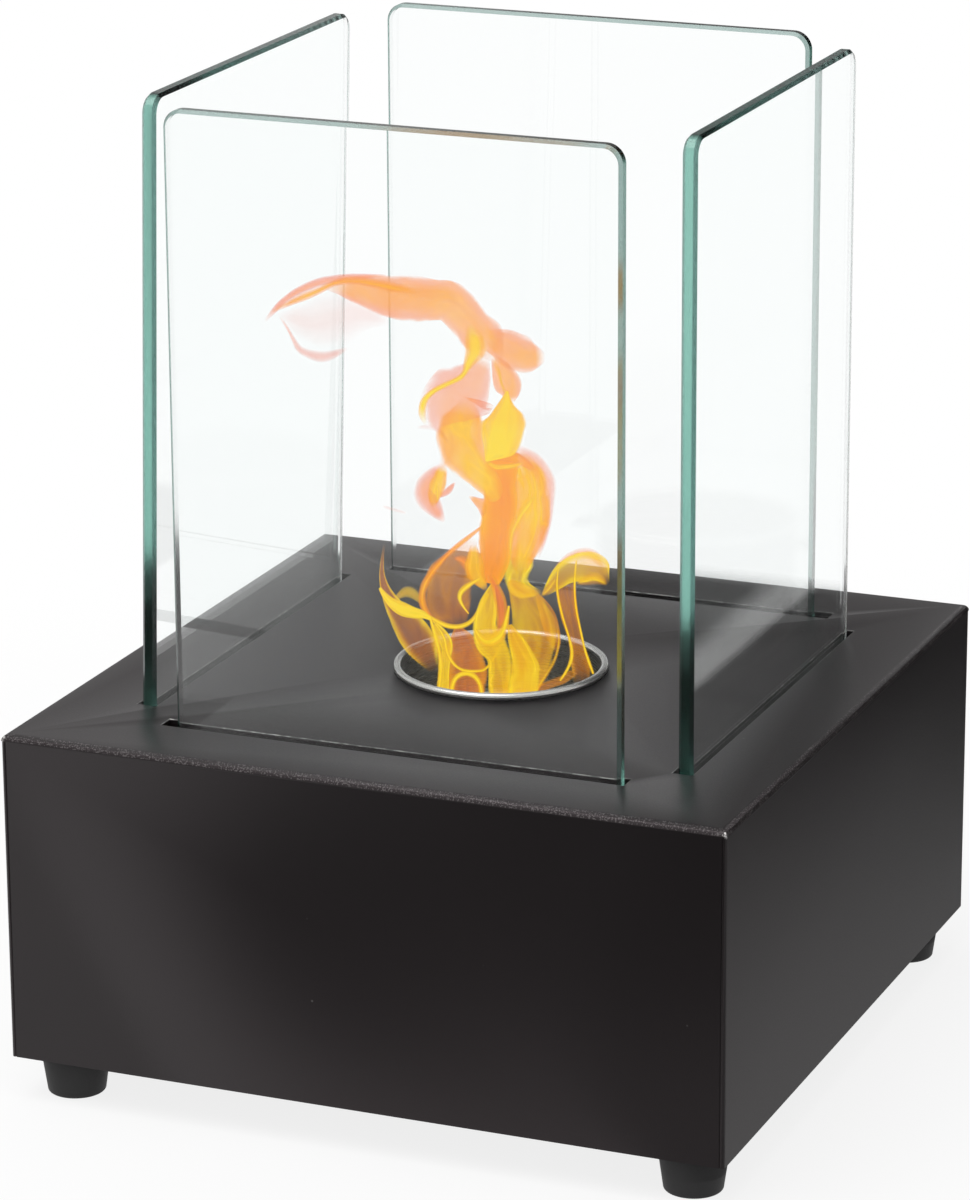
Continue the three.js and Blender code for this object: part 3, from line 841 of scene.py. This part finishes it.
flameBase = {
    "curlVeil": ("smoke", [
        (-7, -8, 34.5, 1), (-10, -8, 30, 3.6), (-13.5, -8, 24, 6.4), (-14, -7, 18.5, 7), (-13, -6, 13, 5.4),
        (-11.5, -5, 9.5, 2),
    ]),
    "curl": ("ember", [
        (-4.5, -4, 39, 0.4), (-9, -3, 35.5, 0.8), (-13.5, -1, 32.5, 0.8), (-18, 2, 28.5, 1), (-21, 5, 24, 1.2),
        (-21, 7, 20.5, 1.2), (-19.5, 9, 18, 0.8), (-17.5, 10, 16.5, 0.4),
    ]),
    "curlFoot": ("thread", [
        (-20, 10, 19, 0.2), (-17.5, 11, 17, 0.8), (-13, 11, 15, 0.8), (-8.5, 11, 16, 0.8), (-5.5, 10, 19.5, 0.8),
        (-3.5, 8, 23.5, 0.4),
    ]),
    "emberMass": ("emberSoft", [
        (-13, 0, 31, 0.4), (-11, 0, 31, 1.2), (-9, 0, 29.5, 2), (-7.5, 0, 27, 1.2), (-7, 0, 25, 0.4),
    ]),
    "innerHook": ("thread", [
        (-5.5, 12, 29, 0.4), (-9.5, 13, 27, 1.2), (-11, 13, 24.5, 0.8), (-10, 13, 21.5, 0.4), (-8.5, 13, 19.5, 0.2),
    ]),
    "swirlHeart": ("honey", [
        (-7, 6, 36.5, 1), (-7, 7, 33, 2.4), (-7, 7, 29, 2.8), (-5, 7, 26, 1.6), (-4, 7, 24, 0.4),
    ]),
    "leftTongue": ("brownSheet", [
        (-31, 4, 36.5, 0.2), (-32, 4, 30, 0.4), (-31.5, 4, 24.5, 1.2), (-29, 5, 19.5, 2.4), (-25.5, 6, 15, 4),
        (-22, 7, 10, 4.4), (-19.5, 6, 5, 3.2), (-18, 5, 1, 1.2),
    ]),
    "leftBand": ("gold", [
        (-32.5, 9, 25.5, 0.4), (-30.5, 10, 22.5, 1.2), (-27, 11, 20.5, 2), (-23.5, 12, 19.5, 1.6), (-20, 12, 19, 1),
        (-18.5, 12, 17.5, 0.4),
    ]),
    "leftCap": ("smokeGold", [
        (-28.5, 2, 20, 0.4), (-26.5, 2, 22, 1.4), (-24, 2, 22.5, 1.8), (-21.5, 2, 20.5, 1.2), (-20, 2, 18.5, 0.4),
    ]),
    "frontStrand": ("thread", [
        (-19, 12, 18.5, 0.4), (-18, 13, 15, 0.8), (-16.5, 13, 10, 0.8), (-16, 12, 5.5, 0.8), (-16.5, 10, 0.5, 0.8),
        (-17, 8, -5, 0.8), (-17.5, 6, -9.5, 0.4),
    ]),
    "frontStrandTwo": ("thread", [
        (-18, 13, 17.5, 0.2), (-15, 14, 14, 0.4), (-14.5, 14, 8.5, 0.6), (-11.5, 13, 4, 0.4), (-7, 12, 3, 0.4),
        (-3, 10, 3, 0.4), (-0.5, 8, 8, 0.4),
    ]),
    "frontGlow": ("sheetBright", [
        (-17.5, 11, 16, 0.8), (-15.5, 12, 13.5, 1.8), (-14, 12, 10.5, 1.8), (-14.5, 11, 6.5, 1.2),
        (-15, 10, 2, 1.2), (-15, 8, -3.5, 1.2), (-15, 6, -8.5, 1.2),
    ]),
    "frontArch": ("thread", [
        (-14, 10, -8, 0.8), (-13.5, 11, -2.5, 0.8), (-12.5, 12, 1.5, 0.8), (-9.5, 12, 3, 0.8), (-6.5, 12, 1.5, 0.8),
        (-5, 11, -2.5, 0.8), (-5, 10, -8, 0.6),
    ]),
    "middleSheet": ("emberSheet", [
        (-11.5, 2, 12, 1), (-10.5, 3, 9.5, 3.6), (-10, 4, 6, 4.8), (-9.5, 4, 1.5, 5.4), (-9.5, 3, -4.5, 5.4),
        (-9, 2, -10.5, 4.8),
    ]),
    "brightSheet": ("sheetBright", [
        (-2, 8, 26, 0.6), (-3, 9, 22.5, 2.2), (-3.5, 10, 19, 2.8), (-4.5, 11, 15, 3.4), (-3, 11, 11, 4.4),
        (-0.5, 11, 7.5, 3.2), (0, 10, 2.5, 3.2), (0, 8, -3, 3.2), (0, 6, -8.5, 3.2),
    ]),
    "sCurve": ("thread", [
        (2, 14, 22, 0.4), (1.5, 14, 19, 0.8), (1, 14, 15.5, 1.2), (-1, 14, 13, 2.6), (-4, 14, 12, 2),
        (-6, 14, 13.5, 1), (-7, 14, 15.5, 0.4),
    ]),
    "hotThroat": ("throat", [
        (-3, 13, 30.5, 0.6), (-1, 14, 26.5, 1.6), (0, 14, 22, 1.8), (0, 14, 18, 1.4), (-1, 14, 14.5, 0.4),
    ]),
    "rightSheet": ("sheet", [
        (2.5, -2, 24, 1), (5, -1, 21, 3.4), (7.5, 0, 17, 5.2), (9, 1, 12.5, 6.4), (9, 2, 7.5, 6.4),
        (8, 3, 2.5, 5.6), (6, 3, -3, 4.8), (4.5, 2, -8.5, 4.4),
    ]),
    "rightEdge": ("threadSoft", [
        (14.5, 4, 14, 0.2), (15.5, 4, 11, 0.4), (15.5, 4, 7.5, 0.4), (14.5, 5, 4, 0.6), (12.5, 5, 0.5, 0.8),
        (10, 5, -3.5, 0.8), (8.5, 5, -7, 0.4),
    ]),
    "rightFold": ("smoke", [
        (9.5, -8, 19, 0.4), (12, -7, 14.5, 2), (13.5, -6, 9.5, 2.4), (15, -5, 5, 1.6), (15, -5, 2.5, 0.4),
    ]),
    "lowYellow": ("sheetBright", [
        (2, 12, 16, 0.6), (3.5, 13, 12, 2.4), (5.5, 13, 8, 3.4), (6.5, 13, 4, 4.4), (6, 12, -0.5, 4.4),
        (5, 10, -6, 4),
    ]),
    "hood": ("hoodSheet", [
        (11.5, 5, 22, 0.6), (14, 6, 25.5, 2.2), (17.5, 7, 29.5, 3.4), (21.5, 8, 31, 4.4), (25.5, 8, 30.5, 4),
        (27, 8, 28, 2), (28.5, 8, 26, 0.4),
    ]),
    "hoodTop": ("apricotSoft", [
        (14, 3, 27.5, 0.4), (16.5, 3, 31, 1.2), (20.5, 3, 33, 1.6), (24, 3, 33, 2), (26, 3, 31.5, 1.6),
        (27.5, 3, 29, 0.4),
    ]),
    "hoodFin": ("threadSoft", [
        (20, 9, 26.5, 0.4), (22.5, 9, 27.5, 1.8), (25.5, 9, 28, 2), (27.5, 9, 27, 1.2), (28.5, 9, 26, 0.4),
    ]),
    "hoodNose": ("threadSoft", [
        (11, 9, 23, 0.4), (12, 9, 24, 1), (13.5, 9, 25.5, 1.2), (15, 9, 28, 0.6),
    ]),
    "hoodLegs": ("smoke", [
        (17.5, 2, 26, 1.6), (17.5, 2, 22, 2.4), (18, 2, 16, 2.4), (19.5, 2, 10, 2), (20.5, 1, 5, 2.2),
        (21.5, 0, 0.5, 2.8), (21.5, -2, -4.5, 2.4),
    ]),
    "legLineLeft": ("thread", [
        (15.5, 9, 31, 0.2), (15, 9, 27, 0.4), (15.5, 9, 22, 0.4), (16.5, 9, 16.5, 0.4), (18, 8, 11, 0.4),
        (19, 7, 6, 0.6), (18, 5, 1, 0.6), (16, 3, -2.5, 0.4),
    ]),
    "legLineRight": ("thread", [
        (20, 9, 33, 0.2), (19.5, 9, 29.5, 0.4), (19.5, 9, 24.5, 0.4), (20, 9, 19.5, 0.4), (21, 8, 13.5, 0.4),
        (22, 6, 7.5, 0.4), (23.5, 4, 2.5, 0.6), (24.5, 2, -1, 0.4),
    ]),
    "lowSweep": ("smoke", [
        (20.5, -2, -1, 0.8), (17.5, 0, -3, 1.2), (14, 4, -3, 1.2), (10, 8, -3.5, 1.2), (6.5, 10, -5, 1),
    ]),
}

flameLooks = {
    # heat at the core and the edge (0 red, 1 pale yellow), cover at both, where the edge fades, strands
    "veil": (0.16, 0.1, 0.24, 0.14, 0.35, 0.0),
    "blushLight": (0.2, 0.12, 0.5, 0.36, 0.5, 0.0),
    "blush": (0.3, 0.14, 0.74, 0.55, 0.6, 0.05),
    "rose": (0.36, 0.16, 0.62, 0.4, 0.6, 0.1),
    "salmon": (0.42, 0.26, 0.66, 0.56, 0.78, 0.05),
    "peach": (0.55, 0.36, 0.78, 0.66, 0.82, 0.1),
    "glow": (0.66, 0.55, 0.6, 0.2, 0.25, 0.05),
    "amberSoft": (0.62, 0.5, 0.9, 0.6, 0.5, 0.1),
    "apricot": (0.74, 0.6, 0.93, 0.86, 0.78, 0.15),
    "apricotSoft": (0.72, 0.4, 0.85, 0.4, 0.45, 0.1),
    "honey": (0.8, 0.66, 0.9, 0.84, 0.75, 0.1),
    "amber": (0.5, 0.62, 0.98, 0.95, 0.85, 0.1),
    "gold": (0.95, 0.84, 0.97, 0.94, 0.82, 0.1),
    "neckGold": (0.92, 0.7, 0.96, 0.72, 0.66, 0.05),
    "footGold": (0.72, 0.95, 0.66, 0.84, 0.7, 0.2),
    "threadSoft": (0.98, 0.72, 0.95, 0.5, 0.35, 0.05),
    "thread": (1.0, 0.78, 0.98, 0.85, 0.5, 0.1),
    "throat": (0.3, 0.6, 0.8, 0.6, 0.7, 0.1),
    "emberSoft": (0.4, 0.35, 0.85, 0.5, 0.5, 0.15),
    "ember": (0.62, 0.45, 0.92, 0.75, 0.5, 0.1),
    "smoke": (0.46, 0.55, 0.28, 0.42, 0.85, 0.2),
    "smokeGold": (0.72, 0.8, 0.45, 0.4, 0.5, 0.2),
    "brownSheet": (0.4, 0.92, 0.24, 0.75, 0.95, 0.12),
    "emberSheet": (0.3, 0.5, 0.42, 0.6, 0.85, 0.2),
    "sheet": (0.6, 0.68, 0.46, 0.5, 0.85, 0.25),
    "hoodSheet": (0.74, 0.95, 0.5, 0.84, 0.92, 0.15),
    "sheetBright": (0.78, 0.9, 0.72, 0.86, 0.82, 0.18),
}

flameShape = {
    "azimuth": cameraView["azimuth"],  # the tongues are laid out in the photo's own plane
    "depthShare": 0.55,  # how thick a tongue is for its width
    "ringSteps": 24,
    "lengthSteps": 9,
    "ripple": 0.16,
    "rippleReach": 0.7,
    "rippleSize": 9 * mm,
    "rippleShift": 3.7,
    "sway": 0.5 * mm,
    "swayPace": 0.6,
    "swayShift": Vector((9, 9, 9)),
    "flowPace": 10 * mm,
    "tipShare": 0.14,
    "firm": ("thread", "ember", "gold", "sheet", "sheetBright", "amber", "emberSheet"),  # solid to their tips
}

flameGlow = {
    "wobbleScale": 110.0,
    "wobble": 0.5,
    "edgeWidth": 0.45,
    "fadeEnd": 1.04,
    "ridgeAcross": 0.85,
    "ridgeAlong": 0.45,
    "ridgeShift": 7.3,
    "ridgeScale": 1.3,
    "ridgeSharpness": 6.0,
    "ridgeHeat": 0.6,
    "driftScale": 75.0,
    "drift": 0.4,
    "colours": (
        (0.0, (0.78, 0.09, 0.015, 1)),
        (0.22, (0.92, 0.2, 0.06, 1)),
        (0.45, (0.98, 0.3, 0.03, 1)),
        (0.62, (1.0, 0.38, 0.015, 1)),
        (0.82, (1.0, 0.56, 0.02, 1)),
        (1.0, (1.0, 0.71, 0.03, 1)),
    ),
}

# what each point of a tongue tells the material
flameMarks = {"flow": "FLOAT_VECTOR", "flameCore": "FLOAT_VECTOR", "flameEdge": "FLOAT_VECTOR", "flameTip": "FLOAT"}


def heatRamp(tree, heat, colours):
    ramp = node(tree, "ShaderNodeValToRGB", Fac=heat)
    stops = ramp.color_ramp.elements
    stops[0].position, stops[0].color = colours[0]
    stops[1].position, stops[1].color = colours[-1]
    for position, colour in colours[1:-1]:
        stops.new(position).color = colour
    return ramp.outputs["Color"]


def flameFire(look):
    material, tree = freshMaterial("flame")
    flow, core, rim, tip = (node(tree, "ShaderNodeAttribute", {"attribute_name": mark}).outputs for mark in flameMarks)
    across, along, seed = split(tree, flow["Vector"])
    coreHeat, coreCover, strands = split(tree, core["Vector"])
    rimHeat, rimCover, rimFade = split(tree, rim["Vector"])
    place = objectPlace(tree)
    wobble = noiseAt(tree, place, look["wobbleScale"], 3.0, 0.5)
    shift = maths(tree, "MULTIPLY_ADD", wobble, look["wobble"], -look["wobble"] / 2)
    out = maths(tree, "ADD", maths(tree, "ABSOLUTE", across), shift)
    toEdge = remap(tree, out, maths(tree, "SUBTRACT", rimFade, look["edgeWidth"]), rimFade, kind="SMOOTHSTEP")
    ridgePlace = node(
        tree,
        "ShaderNodeCombineXYZ",
        X=maths(tree, "MULTIPLY_ADD", across, look["ridgeAcross"], maths(tree, "MULTIPLY", seed, look["ridgeShift"])),
        Y=maths(tree, "MULTIPLY", along, look["ridgeAlong"]),
        Z=seed,
    )
    ridge = noiseAt(tree, ridgePlace.outputs[0], look["ridgeScale"], 1.0, 1.0)
    ridge = maths(tree, "ABSOLUTE", maths(tree, "MULTIPLY_ADD", ridge, 2.0, -1.0))
    strand = maths(tree, "POWER", maths(tree, "SUBTRACT", 1.0, ridge, clamp=True), look["ridgeSharpness"])
    strand = maths(tree, "MULTIPLY", strand, strands)
    heat = maths(tree, "MULTIPLY_ADD", strand, look["ridgeHeat"], mixOf(tree, toEdge, coreHeat, rimHeat, "FLOAT"))
    drift = noiseAt(tree, place, look["driftScale"], 1.0)
    drift = maths(tree, "MULTIPLY_ADD", drift, look["drift"], -look["drift"] / 2)
    colour = heatRamp(tree, maths(tree, "ADD", heat, drift), look["colours"])
    cover = maths(tree, "ADD", mixOf(tree, toEdge, coreCover, rimCover, "FLOAT"), strand, clamp=True)
    fade = remap(tree, out, rimFade, look["fadeEnd"], 1.0, 0.0, "SMOOTHSTEP")
    cover = maths(tree, "MULTIPLY", cover, maths(tree, "MULTIPLY", fade, tip["Fac"]))
    # each tongue is seen through twice, so one wall covers less than the two together
    wall = maths(tree, "SUBTRACT", 1.0, maths(tree, "SQRT", maths(tree, "SUBTRACT", 1.0, cover, clamp=True)))
    # it lights and mirrors in nothing, as the photo shows it
    path = tree.nodes.new("ShaderNodeLightPath").outputs
    unseen = maths(tree, "ADD", path["Is Shadow Ray"], path["Glossy Depth"])
    shown = maths(tree, "SUBTRACT", 1.0, unseen, clamp=True)
    surface = principled(
        tree,
        {"Base Color": (0, 0, 0, 1), "Roughness": 1.0, "Specular IOR Level": 0.0, "Emission Strength": 1.0},
        Emission_Color=colour,
        Alpha=maths(tree, "MULTIPLY", wall, shown),
    )
    return finish(material, tree, surface)


def drawTongue(name, points):
    # an even, round tube along the points
    curve = bpy.data.curves.new(name, "CURVE")
    curve.dimensions = "3D"
    curve.resolution_u = flameShape["lengthSteps"]
    curve.bevel_depth = mm
    curve.bevel_resolution = flameShape["ringSteps"] // 2 - 2
    spline = curve.splines.new("NURBS")
    spline.points.add(len(points) - 1)
    spline.order_u = 3
    spline.use_endpoint_u = True
    for knot, (x, depth, height, radius) in zip(spline.points, points):
        knot.co = (x * mm, -depth * mm, height * mm, 1)
        knot.radius = radius
    pick(linkNew(name, curve))
    bpy.ops.object.convert(target="MESH")
    return bpy.context.object


def closeEnds(tongue):
    editAll(tongue)
    bpy.ops.mesh.select_all(action="DESELECT")
    bpy.ops.mesh.select_mode(type="VERT")
    bpy.ops.mesh.select_non_manifold()
    bpy.ops.mesh.fill_holes(sides=0)
    bpy.ops.mesh.select_all(action="SELECT")
    bpy.ops.mesh.normals_make_consistent(inside=False)
    endEdit()
    bpy.ops.object.shade_smooth()


def makeTongue(name, lookName, points, seed, shape):
    # the tube is flattened, rippled and swayed ring by ring, and marked for the material
    tongue = drawTongue(name, points)
    mesh = tongue.data
    ring = shape["ringSteps"]
    rings = [range(i, i + ring) for i in range(0, len(mesh.vertices), ring)]
    middles = [sum((mesh.vertices[k].co for k in indices), Vector()) / ring for indices in rings]
    coreHeat, rimHeat, coreCover, rimCover, rimFade, strands = flameLooks[lookName]
    for mark, kind in flameMarks.items():
        mesh.attributes.new(mark, kind, "POINT")
    flow, core, rim, tip = (mesh.attributes[mark].data for mark in flameMarks)
    total = sum((b - a).length for a, b in zip(middles, middles[1:]))
    travelled = 0
    for i, middle in enumerate(middles):
        before, after = middles[max(i - 1, 0)], middles[min(i + 1, len(middles) - 1)]
        way = (after - before).normalized()
        side = Vector((way.z, 0, -way.x))
        side = side.normalized() if side.length > 0.01 else Vector((1, 0, 0))
        travelled += (middle - before).length
        toTip = min(travelled, total - travelled) / total
        spot = middle / shape["rippleSize"] + Vector((seed * shape["rippleShift"], 0, 0))
        pace = spot * shape["swayPace"]
        sway = Vector((noise.noise(pace), noise.noise(pace + shape["swayShift"]), 0)) * shape["sway"]
        for index in rings[i]:
            away = mesh.vertices[index].co - middle
            width = away.dot(side)
            reach = away.length
            lean = side * shape["rippleReach"] * (1 if width > 0 else -1)
            new = away * (1 + shape["ripple"] * noise.noise(spot + lean))
            new.y *= shape["depthShare"]
            mesh.vertices[index].co = middle + new + sway
            flow[index].vector = (width / reach if reach > 1e-7 else 0, travelled / shape["flowPace"], seed)
            core[index].vector = (coreHeat, coreCover, strands)
            rim[index].vector = (rimHeat, rimCover, rimFade)
            tip[index].value = 1 if lookName in shape["firm"] else min(1, toTip / shape["tipShare"])
    closeEnds(tongue)
    return tongue


def makeFlame(pieceName, tongues, firstSeed, shape):
    made = [
        makeTongue(name, look, points, firstSeed + count, shape)
        for count, (name, (look, points)) in enumerate(tongues.items())
    ]
    bpy.ops.object.select_all(action="DESELECT")
    for tongue in made:
        tongue.select_set(True)
    bpy.context.view_layer.objects.active = made[0]
    bpy.ops.object.join()
    flame = bpy.context.object
    flame.name = flame.data.name = pieceName
    flame.location.z = plateTop
    flame.rotation_euler.z = radians(shape["azimuth"])
    flame.visible_diffuse = flame.visible_glossy = flame.visible_shadow = False
    settle(flame, "burner", flameMaterial)


flameMaterial = flameFire(flameGlow)
makeFlame("flameCrest", flameCrest, 0, flameShape)
makeFlame("flameBody", flameBody, 20, flameShape)
makeFlame("flameBase", flameBase, 40, flameShape)
print("flame made")

# finishes on the CAD's own pieces

nodeFinishes = {
    "foot_screw": zincMaterial,
    "foot_washer": zincMaterial,
    "foot_nut": zincMaterial,
    "seat_pad": padMaterial,
    "perforated_disc": steelMaterial,
    "snap_ring": steelMaterial,
    "ceramic_wool": woolMaterial,
    "bottom_cover": coatMaterial,
    "glass_channel": coatMaterial,
}


def dress(piece, material):
    if not piece.material_slots:
        piece.data.materials.append(material)
    for slot in piece.material_slots:
        slot.material = material


for name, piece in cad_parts.items():
    for start, material in nodeFinishes.items():
        if name.startswith(start):
            dress(piece, material)

# floor, world and lamps

studio = {
    "floorRadius": 0.9,
    "floorSteps": 96,
    "floorFade": (0.22, 0.45),
    "floorColour": (0.97, 0.97, 0.97, 1),
    "shadowShare": 0.17,  # how much of the floor's own shading shows in the white
    "ambient": 0.55,
    "cardColour": (0.01, 0.01, 0.01, 1),
    "lampPlace": (-0.3, -0.5, 1.5),
    "lampTarget": (0, 0, 0.1),
    "lampSize": (1.2, 1.2),
    "lampPower": 14,
}

# dark cards that only reflections see: low and high corner, how dense, how soft along both sides, and which
# reflections see them, the rough ones of the coat, the sharp ones of the panes or any
cards = {
    "frontCard": ((-1.2, -0.9, 0.002), (0.5, -0.22, 0.002), 1.0, (0.1, 0.05), "rough"),
    "frontRightCard": ((-0.17, -0.6, 0.003), (0.9, -0.13, 0.003), 0.95, (0.1, 0.03), "rough"),
    "frontPaneCard": ((-0.24, -0.56, 0.004), (0.5, -0.3, 0.004), 0.85, (0.12, 0.03), "sharp"),
    "rightCard": ((0.085, -0.6, 0.005), (1.6, 1.6, 0.005), 0.45, (0.01, 0.05), "rough"),
    "farRightCard": ((0.05, -0.1, 0.006), (1.6, 1.6, 0.006), 1.0, (0.1, 0.42), "rough"),
    "nearPaneCard": ((0.1, 0.1, 0.007), (0.1985, 0.395, 0.007), 0.95, (0.003, 0.012), "sharp"),
    "streakCard": ((0.15, 0.1, 0.009), (0.3, 0.395, 0.009), 0.5, (0.01, 0.012), "sharp"),
    "farPaneCard": ((0.207, 0.1, 0.007), (0.3, 0.395, 0.007), 0.95, (0.01, 0.012), "sharp"),
    "lowBackCard": ((0.05, 0.84, 0.0), (1.6, 0.84, 0.4), 1.0, (0.15, 0.002), "rough"),
    "backCard": ((-1.2, 0.6, 0.16), (1.2, 0.6, 1.1), 0.36, (0.15, 0.08), "any"),
    "backRightCard": ((-0.29, 0.61, 0.18), (1.2, 0.61, 1.1), 0.5, (0.1, 0.12), "any"),
    "rightBackCard": ((0.05, 0.85, 0.11), (1.6, 0.85, 1.2), 1.0, (0.15, 0.01), "any"),
}


def seenShare(tree):
    # 1 where the camera sees it, straight or through or in a surface
    path = tree.nodes.new("ShaderNodeLightPath").outputs
    seen = maths(tree, "MAXIMUM", path["Is Camera Ray"], path["Is Transmission Ray"])
    return maths(tree, "MAXIMUM", seen, path["Is Glossy Ray"])


def makeFloor(look):
    bpy.ops.object.select_all(action="DESELECT")
    bpy.ops.mesh.primitive_circle_add(vertices=look["floorSteps"], radius=look["floorRadius"], fill_type="NGON")
    floor = bpy.context.object
    floor.name = "floor"
    material, tree = freshMaterial("floorPaint")
    away = node(tree, "ShaderNodeVectorMath", {"operation": "LENGTH"}, Vector=objectPlace(tree))
    fade = remap(tree, away.outputs["Value"], *look["floorFade"], kind="SMOOTHSTEP")
    paint = node(tree, "ShaderNodeBsdfDiffuse", {"Color": look["floorColour"]}).outputs[0]
    white = node(tree, "ShaderNodeEmission", {"Color": (1, 1, 1, 1), "Strength": 1.0}).outputs[0]
    shown = mixShader(tree, maths(tree, "MULTIPLY", seenShare(tree), 1 - look["shadowShare"]), paint, white)
    floor.data.materials.append(finish(material, tree, mixShader(tree, fade, shown, clearShader(tree))))


def cardMaterial(name, low, high, density, softness, seenIn):
    material, tree = freshMaterial(name)
    place = split(tree, objectPlace(tree))
    shares = []
    spanned = [axis for axis in range(3) if high[axis] > low[axis]]
    for axis, soft in zip(spanned, softness):
        inward = maths(tree, "SUBTRACT", place[axis], low[axis])
        outward = maths(tree, "SUBTRACT", high[axis], place[axis])
        shares.append(maths(tree, "DIVIDE", maths(tree, "MINIMUM", inward, outward), soft, clamp=True))
    path = tree.nodes.new("ShaderNodeLightPath").outputs
    sharp, through = path["Is Singular Ray"], path["Transmission Depth"]
    mirrored = maths(tree, "MINIMUM", path["Glossy Depth"], 1.0)
    if seenIn == "rough":
        mirrored = maths(tree, "SUBTRACT", mirrored, maths(tree, "ADD", sharp, through), clamp=True)
    elif seenIn == "sharp":
        # a pane seen through another one stays clear
        direct = maths(tree, "LESS_THAN", through, 2.5)
        mirrored = maths(tree, "MULTIPLY", mirrored, maths(tree, "MULTIPLY", sharp, direct))
    cover = maths(tree, "MULTIPLY", maths(tree, "MULTIPLY", *shares), density, clamp=True)
    cover = maths(tree, "MULTIPLY", cover, mirrored)
    cloth = node(tree, "ShaderNodeBsdfDiffuse", {"Color": studio["cardColour"]}).outputs[0]
    return finish(material, tree, mixShader(tree, cover, clearShader(tree), cloth))


def makeCard(name, low, high, density, softness, seenIn):
    low, high = Vector(low), Vector(high)
    span = high - low
    bpy.ops.object.select_all(action="DESELECT")
    bpy.ops.mesh.primitive_plane_add(size=1, location=(low + high) / 2)
    card = bpy.context.object
    card.name = name
    card.rotation_euler.x = pi / 2 if span.z > 0 else 0
    card.scale = (span.x, span.z if span.z > 0 else span.y, 1)
    bpy.ops.object.transform_apply(location=True, rotation=True, scale=True)
    card.data.materials.append(cardMaterial(name, low, high, density, softness, seenIn))
    card.visible_camera = card.visible_diffuse = card.visible_shadow = False


def makeWorld(look):
    world = bpy.data.worlds.new("studio")
    world.use_nodes = True
    tree = world.node_tree
    tree.nodes.clear()
    strength = maths(tree, "MULTIPLY_ADD", seenShare(tree), 1 - look["ambient"], look["ambient"])
    back = node(tree, "ShaderNodeBackground", {"Color": (1, 1, 1, 1)}, Strength=strength)
    node(tree, "ShaderNodeOutputWorld", Surface=back.outputs[0])
    scene.world = world


def addLamp(look):
    data = bpy.data.lights.new("topSoftbox", "AREA")
    data.shape = "RECTANGLE"
    data.size, data.size_y = look["lampSize"]
    data.energy = look["lampPower"]
    lamp = linkNew("topSoftbox", data)
    lamp.location = look["lampPlace"]
    lamp.rotation_euler = (Vector(look["lampTarget"]) - lamp.location).to_track_quat("-Z", "Y").to_euler()


makeFloor(studio)
for name, values in cards.items():
    makeCard(name, *values)
makeWorld(studio)
addLamp(studio)
print("studio made")
